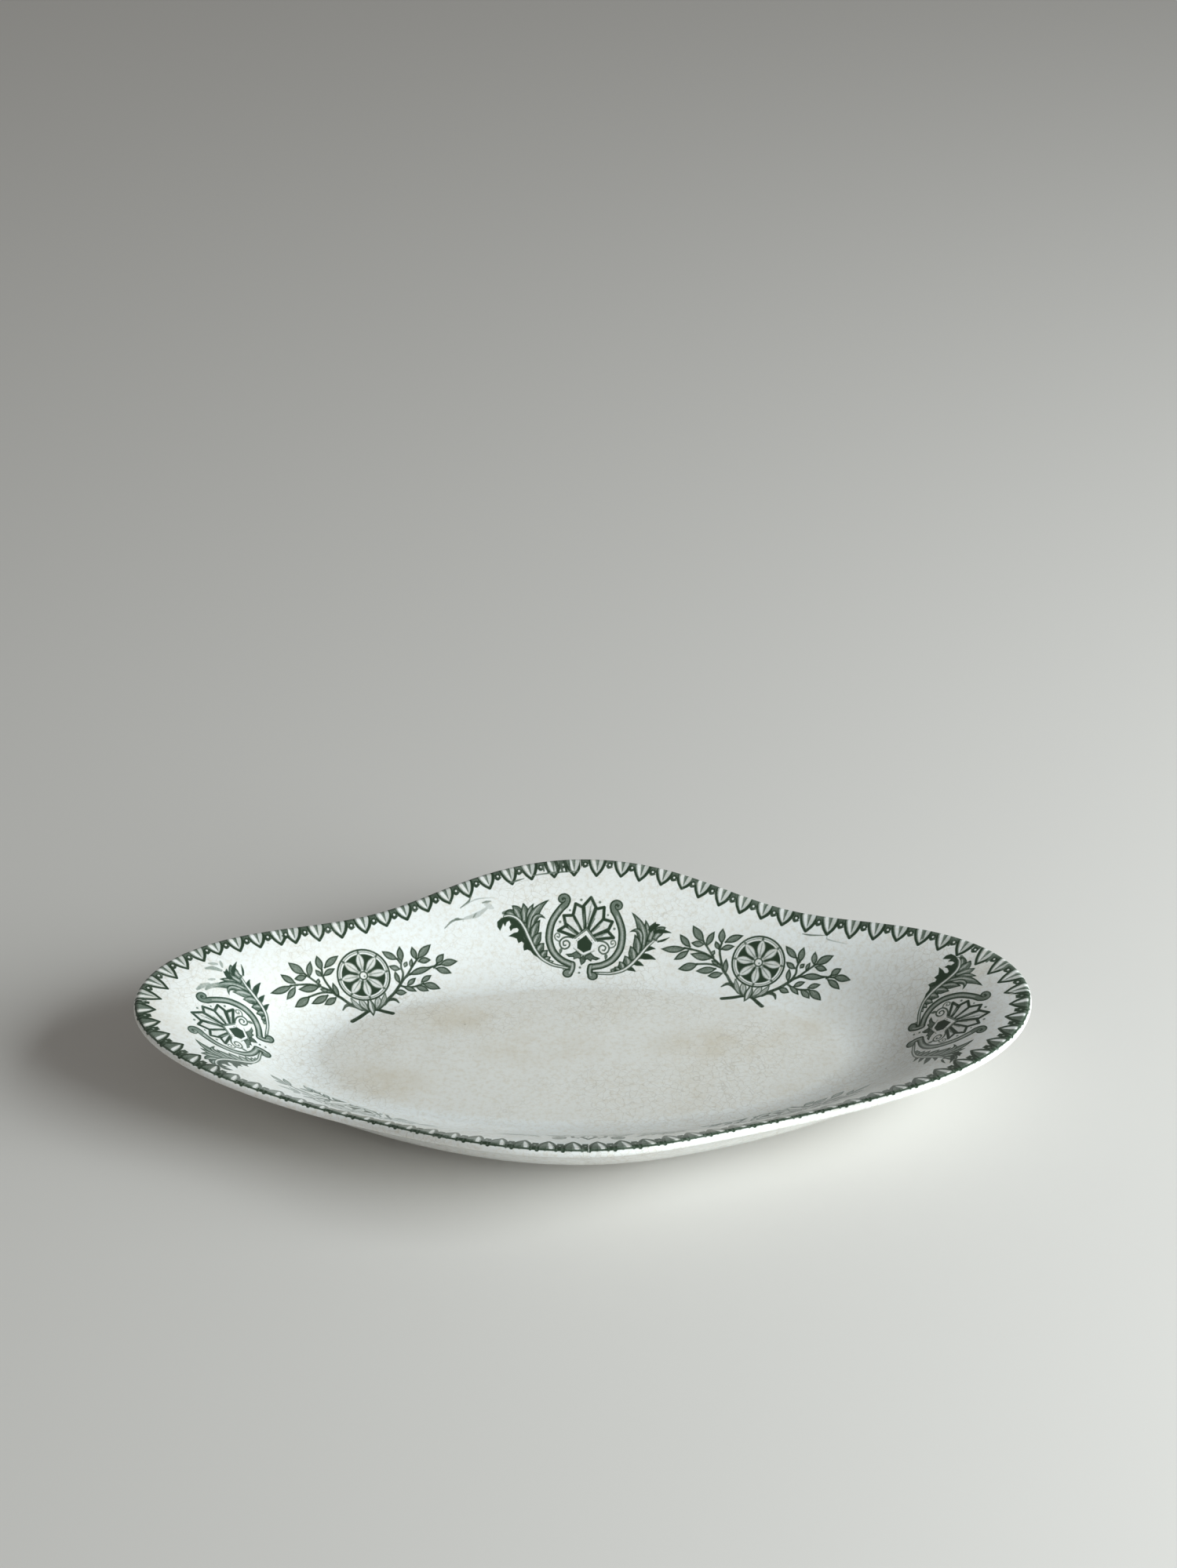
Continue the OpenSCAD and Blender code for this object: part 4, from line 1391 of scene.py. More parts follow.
@dataclass(frozen=True)
class Glaze:
    """The old clear glaze over white earthenware: mottled, crazed, stained and softly rippled, with the
    well's floor darkened partly as wear and partly as painted shade.

    Lengths are in metres here. A share is how much of a colour shows where its mask is full.
    """

    NAME = "old_glaze"

    cool: Colour = (0.83, 0.86, 0.85)
    # The warm grey is the tone of the random warm patches. It is also the tone of the well's floor, which is
    # darker partly as wear and partly as painted shade where the low light reaches it less than the walls.
    warm_tone_and_shade: Colour = (0.765, 0.76, 0.715)
    well_half: Point = (0.073, 0.030)
    well_edge: Point = (1.07, 0.96)
    well_wear_and_shade: float = 0.85
    warm_patches: Patches = Patches(Noise(22.0, 3.0), 0.38, 0.66)
    warm_share: float = 0.35
    stain: Colour = (0.61, 0.545, 0.42)
    mottle: Patches = Patches(Noise(760.0, 4.0, 0.65), 0.42, 0.72)
    mottle_share: float = 0.4
    clouds: Patches = Patches(Noise(46.0, 5.0, 0.62), 0.54, 0.78)
    cloud_share: float = 0.3
    # Stains that tea left on the floor: middle x and y, reach in x and y
    tea_stains: tuple = (
        (-0.034, 0.016, 0.03, 0.011), (0.04, 0.003, 0.03, 0.013), (0.058, 0.012, 0.02, 0.012),
        (-0.012, 0.002, 0.026, 0.012), (-0.056, -0.012, 0.022, 0.014),
    )
    tea_edge: Point = (1.0, 0.1)
    tea_ragged: Patches = Patches(Noise(90.0, 4.0, 0.6), 0.3, 0.7)
    tea_share: float = 0.55
    craze: Colour = (0.44, 0.40, 0.33)
    craze_scale: float = 420.0
    craze_line: Point = (0.06, 0.0)
    craze_bend: Noise = Noise(260.0, 2.0)
    craze_bend_by: float = 0.003
    craze_patches: Patches = Patches(Noise(34.0, 2.0), 0.4, 0.66)
    craze_share: float = 0.36
    speck: Colour = (0.20, 0.16, 0.11)
    speck_scale: float = 95.0
    speck_edge: Point = (0.04, 0.02)
    speck_share: float = 0.4
    ripple: Noise = Noise(70.0, 2.0)
    grain: Noise = Noise(520.0, 2.0)
    grain_share: float = 0.1
    dull_patches: Patches = Patches(Noise(130.0, 4.0), 0.3, 0.8)
    dull_more: float = 0.16
    gloss: float = 0.12

    def group(self) -> bpy.types.NodeTree:
        """Builds the node group once: colour, roughness and height of the glazed surface.

        Returns:
            The group.
        """
        if self.NAME in bpy.data.node_groups:
            return bpy.data.node_groups[self.NAME]
        tree = bpy.data.node_groups.new(self.NAME, "ShaderNodeTree")
        hand = Hand(tree)
        spot = hand.spot()
        colour = self._crazed(hand, spot, self._stained(hand, spot, self._body(hand, spot)))
        ripple, grain = hand.noise(spot, self.ripple), hand.noise(spot, self.grain)
        height = hand.maths("MULTIPLY_ADD", grain, self.grain_share, ripple)
        dull = hand.patches(spot, self.dull_patches)
        rough = hand.maths("MULTIPLY_ADD", dull, self.dull_more, self.gloss)
        results = (("Color", colour), ("Roughness", rough), ("Height", height))
        for name, _ in results:
            kind = "NodeSocketColor" if name == "Color" else "NodeSocketFloat"
            tree.interface.new_socket(name, in_out="OUTPUT", socket_type=kind)
        out = hand.add("NodeGroupOutput")
        for name, value in results:
            hand.put(out.inputs[name], value)
        return tree

    def _body(self, hand: Hand, spot: Socket) -> Socket:
        """The white body: cool on the wall; warmer and greyer in the well, partly as wear and partly as
        painted shade; warmer in patches; with a fine mottle.

        Args:
            hand: lays the nodes.
            spot: the coordinates.

        Returns:
            The colour.
        """
        half_x, half_y = self.well_half
        in_plan = hand.vector("MULTIPLY", spot, (1 / half_x, 1 / half_y, 0.0))
        # Painted shade and wear: inside the well's oval the floor turns to the warm grey, with a soft edge
        # near the floor's rim.
        well_wear_and_shade_mask = hand.ramp(hand.vector("LENGTH", in_plan), *self.well_edge)
        patchy = hand.patches(spot, self.warm_patches)
        well_wear_and_shade_share = hand.maths("MULTIPLY", well_wear_and_shade_mask, self.well_wear_and_shade)
        patch_warmth = hand.maths("MULTIPLY", patchy, self.warm_share)
        colour = hand.mix(hand.maths("MAXIMUM", well_wear_and_shade_share, patch_warmth), self.cool, self.warm_tone_and_shade)
        mottle = hand.maths("MULTIPLY", hand.patches(spot, self.mottle), self.mottle_share)
        return hand.mix(mottle, colour, self.stain)

    def _stained(self, hand: Hand, spot: Socket, colour: Socket) -> Socket:
        """Adds the soft stains on the floor and faint beige clouds everywhere else.

        Args:
            hand: lays the nodes.
            spot: the coordinates.
            colour: the colour so far.

        Returns:
            The colour.
        """
        share = hand.maths("MULTIPLY", hand.patches(spot, self.clouds), self.cloud_share)
        ragged = hand.patches(spot, self.tea_ragged)
        for x, y, long, wide in self.tea_stains:
            shifted = hand.vector("SUBTRACT", spot, (x, y, 0.0))
            flat = hand.vector("MULTIPLY", shifted, (1 / long, 1 / wide, 0.0))
            near = hand.ramp(hand.vector("LENGTH", flat), *self.tea_edge)
            stained = hand.maths("MULTIPLY", hand.maths("MULTIPLY", near, ragged), self.tea_share)
            share = hand.maths("MAXIMUM", share, stained)
        return hand.mix(share, colour, self.stain)

    def _crazed(self, hand: Hand, spot: Socket, colour: Socket) -> Socket:
        """Adds fine crazing in patches, with lines that wander, and a few dark specks.

        Args:
            hand: lays the nodes.
            spot: the coordinates.
            colour: the colour so far.

        Returns:
            The colour.
        """
        push = hand.noise(spot, self.craze_bend, "Color")
        bent = hand.vector("MULTIPLY_ADD", push, (self.craze_bend_by,) * 3, spot)
        crack = hand.add("ShaderNodeTexVoronoi", Vector=bent, Scale=self.craze_scale)
        crack.feature = "DISTANCE_TO_EDGE"
        line = hand.ramp(crack.outputs["Distance"], *self.craze_line)
        where = hand.maths("MULTIPLY", hand.patches(spot, self.craze_patches), self.craze_share)
        colour = hand.mix(hand.maths("MULTIPLY", line, where), colour, self.craze)
        dust = hand.add("ShaderNodeTexVoronoi", Vector=spot, Scale=self.speck_scale)
        fleck = hand.ramp(dust.outputs["Distance"], *self.speck_edge)
        return hand.mix(hand.maths("MULTIPLY", fleck, self.speck_share), colour, self.speck)


class Finish:
    """A material in the making: one glossy shader with the old glaze on it."""

    IOR = 1.52
    BUMP_DEPTH = 0.00035
    BUMP_STRENGTH = 0.6

    def __init__(self, name: str, glaze: Glaze) -> None:
        """Starts a material and lays the glaze group into it.

        Args:
            name: the material's name.
            glaze: the glaze.
        """
        self.material = bpy.data.materials.new(name)
        self.material.use_nodes = True
        self.hand = Hand(self.material.node_tree)
        self.shader = self.material.node_tree.nodes["Principled BSDF"]
        self.shader.inputs["IOR"].default_value = self.IOR
        group = self.hand.add("ShaderNodeGroup")
        group.node_tree = glaze.group()
        self.colour = group.outputs["Color"]
        self.rough = group.outputs["Roughness"]
        self.height = group.outputs["Height"]

    def close(self) -> bpy.types.Material:
        """Links the colour, roughness and relief to the shader.

        Returns:
            The finished material.
        """
        bump = self.hand.add("ShaderNodeBump", Height=self.height, Distance=self.BUMP_DEPTH)
        self.hand.put(bump.inputs["Strength"], self.BUMP_STRENGTH)
        links = {"Base Color": self.colour, "Roughness": self.rough, "Normal": bump.outputs["Normal"]}
        for name, value in links.items():
            self.hand.put(self.shader.inputs[name], value)
        return self.material


@dataclass(frozen=True)
class GreenInk:
    """The green print under the glaze: worn by noise, with a fine grain where the tone is half.

    An edge gives the amounts of ink between which a colour comes in.
    """

    name: str = "green_print"
    ink: Colour = (0.020, 0.040, 0.021)
    thin: Colour = (0.165, 0.205, 0.165)
    wear: float = 0.22
    worn: Patches = Patches(Noise(190.0, 4.0, 0.6), 0.42, 0.8)
    grain: Patches = Patches(Noise(2300.0, 2.0), 0.25, 0.8)
    grain_loss: float = 0.2
    thin_edge: Point = (0.0, 0.46)
    ink_edge: Point = (0.34, 0.8)

    def material(self, glaze: Glaze) -> bpy.types.Material:
        """Builds the material of a print film.

        Args:
            glaze: the glaze over it.

        Returns:
            The material, which reads the film's ink from its own attribute.
        """
        finish = Finish(self.name, glaze)
        hand = finish.hand
        spot = hand.spot()
        drawn = hand.add("ShaderNodeAttribute")
        drawn.attribute_name = PrintFilm.INK
        worn = hand.maths("MULTIPLY", hand.patches(spot, self.worn), self.wear)
        loss = hand.maths("MULTIPLY_ADD", hand.patches(spot, self.grain), self.grain_loss, worn)
        kept = hand.maths("MULTIPLY", drawn.outputs["Fac"], hand.maths("SUBTRACT", 1.0, loss))
        light = hand.mix(hand.ramp(kept, *self.thin_edge), finish.colour, self.thin)
        finish.colour = hand.mix(hand.ramp(kept, *self.ink_edge), light, self.ink)
        return finish.close()


@dataclass(frozen=True)
class BareFoot:
    """The foot's finish, in metres: glazed on its sides, ground bare and dirty on the land."""

    name: str = "foot_biscuit"
    biscuit: Colour = (0.62, 0.53, 0.41)
    dirt: Colour = (0.25, 0.20, 0.15)
    bare_below: float = 0.0005
    glazed_above: float = 0.0013
    ragged: Noise = Noise(260.0, 3.0)
    ragged_by: float = 0.0006
    grit: Patches = Patches(Noise(1500.0, 4.0, 0.7), 0.4, 0.75)
    grit_share: float = 0.6
    grit_height: float = 0.5
    bare_rough: float = 0.85

    def material(self, glaze: Glaze) -> bpy.types.Material:
        """Builds the material: the glaze gives way to rough biscuit low on the ring.

        Args:
            glaze: the glaze of the sides.

        Returns:
            The material.
        """
        finish = Finish(self.name, glaze)
        hand = finish.hand
        spot = hand.spot()
        height = hand.add("ShaderNodeSeparateXYZ", Vector=spot).outputs["Z"]
        ragged = hand.maths("MULTIPLY_ADD", hand.noise(spot, self.ragged), self.ragged_by, height)
        bare = hand.ramp(ragged, self.glazed_above, self.bare_below)
        grit = hand.patches(spot, self.grit)
        clay = hand.mix(hand.maths("MULTIPLY", grit, self.grit_share), self.biscuit, self.dirt)
        finish.colour = hand.mix(bare, finish.colour, clay)
        rough = hand.maths("MULTIPLY", bare, self.bare_rough)
        finish.rough = hand.maths("MAXIMUM", finish.rough, rough)
        gritty = hand.maths("MULTIPLY", grit, bare)
        finish.height = hand.maths("MULTIPLY_ADD", gritty, self.grit_height, finish.height)
        return finish.close()


def put_mesh(name: str, points: Array, faces: Sequence[Array]) -> bpy.types.Object:
    """Puts points and faces into a new smooth-shaded object.

    Args:
        name: the object's name.
        points: corners in millimetres, shape (n, 3).
        faces: arrays of corner numbers, each of shape (m, 3) or (m, 4).

    Returns:
        The object, linked to the scene.
    """
    mesh = bpy.data.meshes.new(name)
    corners = np.concatenate([f.ravel() for f in faces]).astype(np.int32)
    sizes = np.concatenate([np.full(len(f), f.shape[1]) for f in faces])
    starts = (np.cumsum(sizes) - sizes).astype(np.int32)
    mesh.vertices.add(len(points))
    mesh.vertices.foreach_set("co", (points * MM).astype(np.float32).ravel())
    mesh.loops.add(len(corners))
    mesh.loops.foreach_set("vertex_index", corners)
    mesh.polygons.add(len(starts))
    mesh.polygons.foreach_set("loop_start", starts)
    mesh.update(calc_edges=True)
    mesh.polygons.foreach_set("use_smooth", np.ones(len(starts), bool))
    piece = bpy.data.objects.new(name, mesh)
    bpy.context.scene.collection.objects.link(piece)
    return piece


def loft(rings: Array) -> Array:
    """Faces between rings of equal size, each joined to the next, and the last corner to the first.

    Args:
        rings: corner numbers, shape (rings, corners).

    Returns:
        Quads, shape (n, 4), that face outwards where the rings run counter-clockwise and go up.
    """
    here, after = rings[:-1], rings[1:]
    quads = np.stack([here, np.roll(here, -1, 1), np.roll(after, -1, 1), after], -1)
    return quads.reshape(-1, 4)


def dress(piece: bpy.types.Object, material: bpy.types.Material, node: str) -> None:
    """Gives a finished piece its material, ties it to the frame and reports it.

    Args:
        piece: the object.
        material: its finish.
        node: the solid that it stands for.
    """
    piece.data.materials.append(material)
    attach(piece, "root")
    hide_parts(node)
    LOG.info("%s: %d faces", piece.name, len(piece.data.polygons))


@dataclass
class DishBody:
    """The glazed bowl: floor, wall, lip and underside as one closed skin."""

    bowl: Bowl
    around: int = 640
    floor_rings: int = 12
    wall_rings: int = 62
    lip_rings: int = 14
    under_rings: int = 34
    base_rings: int = 6
    # Above one, the wall's rings lie closer together near the well
    wall_crowding: float = 1.15

    def build(self) -> bpy.types.Object:
        """Builds the skin: rings from the middle of the floor, over the lip, to the middle of the base.

        Returns:
            The bowl.
        """
        bowl = self.bowl
        t = turns(self.around)
        middle = np.array([0.0, 0.0, bowl.floor_z])
        grow = np.linspace(0.0, 1.0, self.floor_rings + 2)[1:-1, None, None]
        floor = middle + grow * (bowl.wall(t, np.zeros_like(t)) - middle)
        climb = np.linspace(0.0, 1.0, self.wall_rings)[:, None] ** self.wall_crowding
        wall = bowl.wall(t, climb * bowl.rim_s(t))
        lip = bowl.lip(t, np.linspace(0.0, math.pi, self.lip_rings + 1)[1:, None])
        under = bowl.under(t, np.linspace(1.0, 0.0, self.under_rings + 1)[1:, None])
        base_middle = np.array([0.0, 0.0, bowl.foot_height])
        shrink = np.linspace(1.0, 0.0, self.base_rings + 2)[1:-1, None, None]
        base = base_middle + shrink * (under[-1:] - base_middle)
        rings = np.concatenate([floor, wall, lip, under, base])
        points = np.vstack([rings.reshape(-1, 3), middle, base_middle])
        numbers = np.arange(rings.shape[0] * self.around).reshape(-1, self.around)
        top, bottom = len(points) - 2, len(points) - 1
        first, last = numbers[0], numbers[-1]
        caps = [
            np.stack([np.full_like(first, top), first, np.roll(first, -1)], -1),
            np.stack([np.full_like(last, bottom), np.roll(last, -1), last], -1),
        ]
        return put_mesh("glazed_bowl", points, [loft(numbers[::-1]), *caps])


@dataclass
class FootRing:
    """The low foot: a rounded ring that flares up to the base of the bowl."""

    bowl: Bowl
    land: float = 3.0
    edge: float = 0.7
    corner: float = 0.45
    around: int = 360
    corner_steps: int = 6
    side_steps: int = 5
    side_hollow: float = 1.5
    sink: float = 0.15
    flare_short: float = 0.05
    crisp_angle: float = math.radians(40)

    def _side(self, low: Point, high: Point) -> Array:
        """A hollow side from its upper edge down to its lower one: it flares by a power of its height.

        Args:
            low: the lower edge, as a distance outwards and a height.
            high: the upper edge.

        Returns:
            The side's points, shape (n, 2).
        """
        rise = np.linspace(1.0, 0.0, self.side_steps)[:, None]
        return np.array(low) + rise**self.side_hollow * np.subtract(high, low)

    def build(self) -> bpy.types.Object:
        """Builds the ring: a section of land, rounded edges and flared sides, carried round the oval.

        The section is given as distances outwards from the land's outer oval and heights, counted from
        the outer side at the top, down round the land and up the inner side.

        Returns:
            The foot.
        """
        bowl = self.bowl
        turn = np.linspace(0.0, math.pi / 2, self.corner_steps)
        outer = self.corner * np.stack([np.cos(turn) - 1, 1 - np.sin(turn)], -1)
        inner = np.stack([-self.land - outer[::-1, 0], outer[::-1, 1]], -1)
        top = bowl.foot_height + self.sink
        side = self._side((0.0, self.edge), (bowl.foot_flare - self.flare_short, top))
        inner_side = self._side((-self.land, self.edge), (-self.land - bowl.foot_flare, top))
        section = np.vstack([side, outer, inner, inner_side[::-1]])
        t = turns(self.around)
        out, z = section[:, :1], section[:, 1:]
        x = (bowl.foot_length / 2 + out) * np.cos(t)
        y = (bowl.foot_width / 2 + out) * np.sin(t)
        rings = np.stack([x, y, np.broadcast_to(z, x.shape)], -1)
        numbers = np.arange(rings.shape[0] * self.around).reshape(-1, self.around)
        closed = np.vstack([numbers, numbers[:1]])
        piece = put_mesh("standing_foot", rings.reshape(-1, 3), [loft(closed[::-1])])
        piece.data.set_sharp_from_angle(angle=self.crisp_angle)
        return piece


class PrintFilm:
    """A transfer print laid on the bowl: a closed film that follows the wall and carries the ink.

    The film is a grid cut to the print's own outline plus a margin. Its upper face stands a little
    above the wall and dips into it at the edge, where it meets the lower face, so no step shows.
    """

    INK = "ink"
    MAP = "OFBake"
    RISE = 0.045
    SINK = 0.02
    BITE = 0.07
    MARGIN = 0.7
    DIP_WIDTH = 0.5
    PROBE = 0.05
    PINCH_ROUNDS = 8
    MAP_PAD = 0.004

    def __init__(self, name: str, plate: Plate, square: float, place: Place) -> None:
        """Keeps what the film is made from.

        Args:
            name: the piece's name.
            plate: the engraved plate.
            square: size of the plate's square in millimetres.
            place: the drawing's place on the wall.
        """
        self.name = name
        self.plate = plate
        self.square = square
        self.place = place

    def _cells(self) -> Array:
        """Finds the cells within the margin of the print, with no two that touch only at a corner.

        Returns:
            True for each cell that the film has.
        """
        inside = self.plate.reach < self.MARGIN / self.square
        cells = inside[:-1, :-1] & inside[1:, :-1] & inside[:-1, 1:] & inside[1:, 1:]
        for _ in range(self.PINCH_ROUNDS):
            a, b, c, d = cells[:-1, :-1], cells[:-1, 1:], cells[1:, :-1], cells[1:, 1:]
            pinched = (a & d & ~b & ~c) | (b & c & ~a & ~d)
            if not pinched.any():
                break
            cells[:-1, :-1] |= pinched
            cells[:-1, 1:] |= pinched
        return cells

    def _faced(self, x: Array, y: Array) -> tuple[Array, Array]:
        """Points on the wall and the directions it faces there, by small steps along the drawing.

        Args:
            x: the drawing's x in millimetres.
            y: its y.

        Returns:
            The points and the directions, each of shape (n, 3).
        """
        step = self.PROBE
        right = self.place(x + step, y) - self.place(x - step, y)
        up = self.place(x, y + step) - self.place(x, y - step)
        return self.place(x, y), unit(np.cross(right, up))

    def _map(self, rows: Array, cols: Array) -> Array:
        """The bake map: the plate cut into equal bands, each with its upper face below its lower one.

        Args:
            rows: each cell's row.
            cols: each cell's column.

        Returns:
            Map places of the four corners of all upper faces and then of all lower faces.
        """
        wide = self.plate.ink.shape[1] - 1
        bands = max(1, round(math.sqrt(wide / (2 * (rows.max() + 1)))))
        per_band = math.ceil(wide / bands)
        band = cols // per_band
        corner_rows = rows[:, None] + np.array([0, 0, 1, 1])
        corner_cols = (cols - band * per_band)[:, None] + np.array([0, 1, 1, 0])
        u = self.MAP_PAD + corner_cols / per_band * (1 - 2 * self.MAP_PAD)
        up = (corner_rows - rows.min()) / (rows.max() + 1 - rows.min())
        shelf = 1 / (2 * bands)
        faces = []
        for face in (0, 1):
            low = (2 * band[:, None] + face) * shelf
            high = (low + up * shelf) * (1 - self.MAP_PAD)
            v = low + (high - low) * (1 - 4 * self.MAP_PAD)
            faces.append(np.stack([u, v], -1))
        return np.concatenate([faces[0], faces[1][:, ::-1]]).reshape(-1, 2)

    def build(self) -> bpy.types.Object:
        """Builds the film with its ink, its bake map and the wall's own directions for shading.

        The lower face has points of its own inside, and shares the upper ones along the film's edge.

        Returns:
            The film.
        """
        cells = self._cells()
        rows, cols = np.nonzero(cells)
        padded = np.pad(cells, 1)
        around = [padded[:-1, :-1], padded[:-1, 1:], padded[1:, :-1], padded[1:, 1:]]
        used = np.logical_or.reduce(around)
        inner = np.logical_and.reduce(around)
        upper = np.full(used.shape, -1)
        upper[used] = np.arange(used.sum())
        lower = upper.copy()
        lower[inner] = used.sum() + np.arange(inner.sum())
        grid_x, grid_y = np.meshgrid(self.plate.xs, self.plate.ys)
        points, faces = self._faced(grid_x[used] * self.square, grid_y[used] * self.square)
        depth = (self.MARGIN - self.plate.reach[used] * self.square) / self.DIP_WIDTH
        below = inner[used]
        lift = np.where(below, (self.RISE + self.SINK) * np.clip(depth, 0.0, 1.0), 0.0) - self.SINK
        skin = np.vstack([points + faces * lift[:, None], points[below] - faces[below] * self.BITE])
        corner_rows = np.stack([rows, rows, rows + 1, rows + 1], -1)
        corner_cols = np.stack([cols, cols + 1, cols + 1, cols], -1)
        top = upper[corner_rows, corner_cols]
        bottom = lower[corner_rows, corner_cols][:, ::-1]
        piece = put_mesh(self.name, skin, [top, bottom])
        ink = np.zeros(len(skin), np.float32)
        ink[: used.sum()] = np.clip(self.plate.ink[used], 0.0, 1.0)
        piece.data.attributes.new(self.INK, "FLOAT", "POINT").data.foreach_set("value", ink)
        layer = piece.data.uv_layers.new(name=self.MAP)
        layer.uv.foreach_set("vector", self._map(rows, cols).astype(np.float32).ravel())
        facing = np.vstack([faces[top.ravel()], -faces[top[:, ::-1].ravel()]])
        piece.data.normals_split_custom_set(facing.tolist())
        return piece


@dataclass(frozen=True)
class Print:
    """One print on the wall: its node, its place as in Bowl.spot, its ink and what is wrong with it."""

    node: str
    angle: float
    turn: float
    inset: float
    height: float = 1.0
    wear: Wear = Wear.NONE
    rubbed_below: float | None = None
    smears: tuple = ()


@dataclass
class Prints:
    """All prints of the dish: four border strips, four palmettes and four rosettes."""

    bowl: Bowl
    slot: str = "green_print"
    inks: dict[Wear, GreenInk] = field(
        default_factory=lambda: {
            Wear.NONE: GreenInk(),
            Wear.RUBBED: GreenInk(
                "green_print_rubbed", ink=(0.026, 0.054, 0.035), thin=(0.18, 0.235, 0.195), wear=0.36
            ),
            Wear.FADED: GreenInk(
                "green_print_faded", ink=(0.06, 0.09, 0.07), thin=(0.32, 0.37, 0.335), wear=0.6
            ),
        }
    )
    # Pale smears where the left palmette's leaves slipped: points in squares, width and tone
    left_smears: tuple = (
        (((10.6, 14.7), (12.6, 13.5), (14.2, 11.9)), 1.9, 0.36),
        (((11.8, 12.2), (13.6, 11.2), (15.6, 9.2)), 1.7, 0.44),
        (((19.6, 14.2), (20.6, 12.2), (20.8, 9.6)), 1.6, 0.36),
        (((21.8, 13.8), (22.6, 11.4)), 1.3, 0.3), (((24.0, 10.8), (22.2, 9.6)), 1.1, 0.34),
        (((15.8, 12.4), (16.8, 10.6)), 1.1, 0.3),
    )
    smear_taper: tuple = (0.5, 1.0, 0.6)
    # Each print: node, angle, turn, inset, height, wear and the line below which it is rubbed out
    palmettes: tuple[Print, ...] = (
        Print("palmette_back", 89.4, 8.1, 21.7),
        Print("palmette_front", 271.0, 4.0, 18.3, 1.0, Wear.FADED, -8.0),
        Print("palmette_left", 180.7, 4.2, 25.8, 0.97, Wear.RUBBED, smears=left_smears),
        Print("palmette_right", -4.0, 2.8, 22.0, 0.97),
    )
    rosettes: tuple[Print, ...] = (
        Print("rosette_back_left", 134.2, 5.0, 16.2, 1.02),
        Print("rosette_back_right", 55.5, -1.0, 14.3, 1.02),
        Print("rosette_front_left", 227.0, 3.0, 13.2, 1.0, Wear.FADED, -8.0),
        Print("rosette_front_right", -55.0, -3.0, 13.2, 1.0, Wear.FADED, -8.0),
    )

    def _engraved(self, motif: Palmette | Rosette, spec: Print) -> Plate:
        """Engraves the plate of one print, with its smears, and rubs out what didn't take.

        Args:
            motif: what is drawn.
            spec: the print.

        Returns:
            The plate.
        """
        plate = motif.engrave()
        for path, width, tone in spec.smears:
            plate.stroke(smooth(path), Line(np.multiply(self.smear_taper, width), tone))
        if spec.rubbed_below is not None:
            plate.rub_out(spec.rubbed_below)
        return plate

    def build(self, glaze: Glaze) -> None:
        """Engraves the plates and lays their films.

        Args:
            glaze: the glaze over the inks.
        """
        inks = {wear: ink.material(glaze) for wear, ink in self.inks.items()}
        for motif, prints in ((Palmette(), self.palmettes), (Rosette(), self.rosettes)):
            for spec in prints:
                plate = self._engraved(motif, spec)
                place = self.bowl.spot(spec.angle, spec.turn, spec.inset, spec.height)
                film = PrintFilm(f"{spec.node}_print", plate, motif.square, place).build()
                dress(film, inks[spec.wear], spec.node)
        border = LeafTipBorder()
        for quarter in Quarter:
            node = f"border_{quarter.name.lower()}"
            plate = border.engrave(self.bowl, quarter)
            film = PrintFilm(f"{node}_print", plate, 1.0, self.bowl.along_rim).build()
            dress(film, inks[Wear.NONE], node)


@dataclass(frozen=True)
class Lamp:
    """A soft square light that looks at the dish. Its angles are in degrees, its lengths in metres."""

    name: str
    azimuth: float
    elevation: float
    distance: float
    size: float
    power: float
    colour: Colour

    def build(self) -> None:
        """Adds the light: azimuth is counted from the dish's right end towards its back."""
        data = bpy.data.lights.new(self.name, "AREA")
        data.size = self.size
        data.energy = self.power
        data.color = self.colour
        turn, lift = math.radians(self.azimuth), math.radians(self.elevation)
        way = Vector((math.cos(turn) * math.cos(lift), math.sin(turn) * math.cos(lift), math.sin(lift)))
        lamp = bpy.data.objects.new(self.name, data)
        lamp.location = way * self.distance
        lamp.rotation_euler = (-way).to_track_quat("-Z", "Y").to_euler()
        bpy.context.scene.collection.objects.link(lamp)


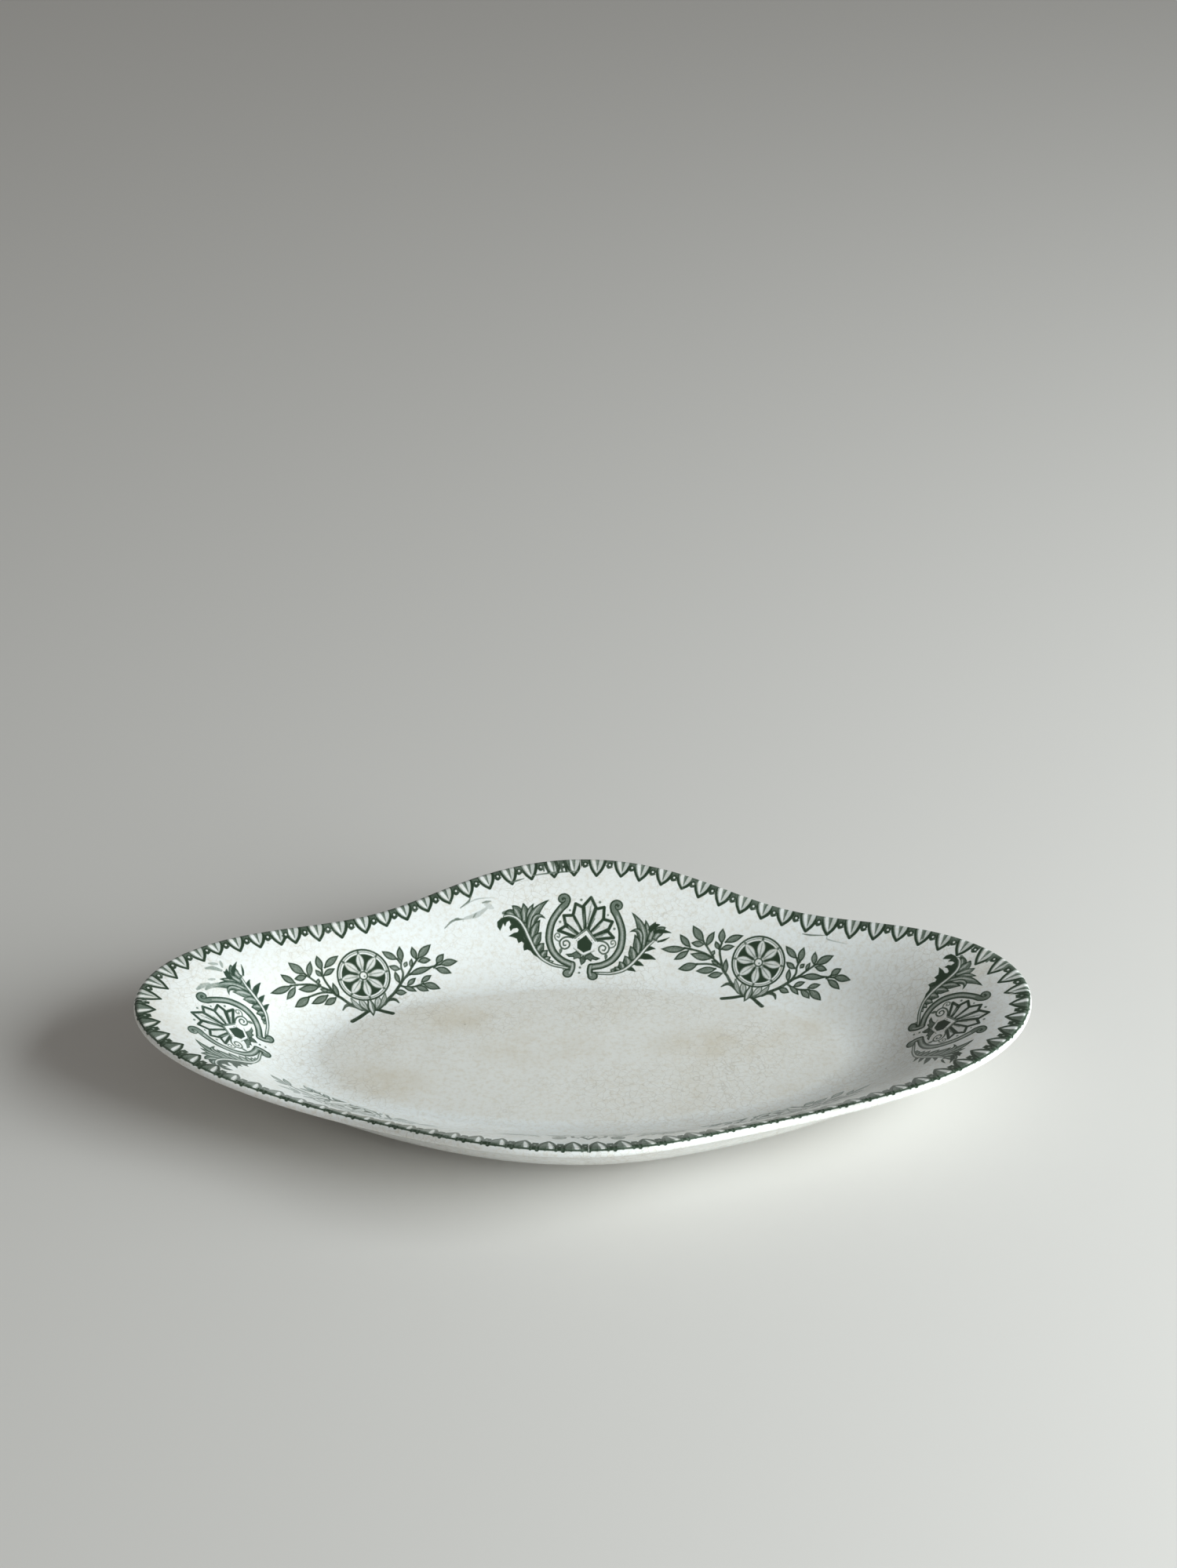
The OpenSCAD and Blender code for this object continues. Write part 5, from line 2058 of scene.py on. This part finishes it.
@dataclass
class Studio:
    """A plain pale floor, soft light and a camera at the photograph's angle."""

    picture: tuple[int, int] = (1500, 1999)
    focal_pixels: float = 3785.1
    camera_at: tuple = (-3.79, -664.18, 524.88)
    looking: tuple = (0.00718, 0.8411, -0.54083)
    roll: float = math.radians(-0.29)
    sensor: float = 36.0
    clip_start_m: float = 0.01
    floor_half: float = 3000.0
    floor_colour: Colour = (0.66, 0.64, 0.61)
    floor_rough: float = 0.8
    # Each lamp: name, azimuth, elevation, distance, size, power and colour
    lamps: tuple[Lamp, ...] = (
        Lamp("window", -19.0, 24.0, 1.1, 0.8, 21.5, (0.93, 1.0, 1.02)),
        Lamp("front", -98.0, 15.0, 1.4, 0.9, 1.6, (1.0, 0.98, 0.94)),
    )
    sky: Colour = (1.0, 0.985, 0.95)
    sky_strength: float = 0.22

    def camera(self) -> None:
        """Places the camera: it looks along one direction, with its right edge rolled about it."""
        data = bpy.data.cameras.new("photo_camera")
        data.sensor_width = self.sensor
        data.lens = self.focal_pixels * self.sensor / max(self.picture)
        data.clip_start = self.clip_start_m
        eye = bpy.data.objects.new("photo_camera", data)
        ahead = Vector(self.looking).normalized()
        level = ahead.cross(Vector((0, 0, 1))).normalized()
        upright = level.cross(ahead)
        right = level * math.cos(self.roll) + upright * math.sin(self.roll)
        up = upright * math.cos(self.roll) - level * math.sin(self.roll)
        turned = Matrix((right, up, -ahead)).transposed().to_4x4()
        eye.matrix_world = Matrix.Translation(Vector(self.camera_at) * MM) @ turned
        bpy.context.scene.collection.objects.link(eye)
        bpy.context.scene.camera = eye

    def floor(self) -> None:
        """Lays the floor, a wide square, and paints it."""
        half = self.floor_half
        corners = np.array([(-half, -half, 0), (half, -half, 0), (half, half, 0), (-half, half, 0)])
        floor = put_mesh("studio_floor", corners, [np.array([[0, 1, 2, 3]])])
        paint = bpy.data.materials.new("studio_floor")
        paint.use_nodes = True
        shader = paint.node_tree.nodes["Principled BSDF"]
        shader.inputs["Base Color"].default_value = (*self.floor_colour, 1.0)
        shader.inputs["Roughness"].default_value = self.floor_rough
        floor.data.materials.append(paint)

    def light(self) -> None:
        """Sets up the lamps, the sky and the colour view."""
        for lamp in self.lamps:
            lamp.build()
        world = bpy.data.worlds.new("studio_sky")
        world.use_nodes = True
        back = world.node_tree.nodes["Background"]
        back.inputs["Color"].default_value = (*self.sky, 1.0)
        back.inputs["Strength"].default_value = self.sky_strength
        bpy.context.scene.world = world
        bpy.context.scene.view_settings.view_transform = "Standard"


def main() -> None:
    """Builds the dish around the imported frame."""
    logging.basicConfig(level=logging.INFO, format="%(name)s: %(message)s")
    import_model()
    studio = Studio()
    studio.camera()
    studio.floor()
    studio.light()
    glaze = Glaze()
    bowl = Bowl()
    body_glaze = Finish("glazed_earthenware", glaze).close()
    dress(DishBody(bowl).build(), body_glaze, "dish_body")
    dress(FootRing(bowl).build(), BareFoot().material(glaze), "foot_ring")
    Prints(bowl).build(glaze)


if __name__ == "__main__":
    main()
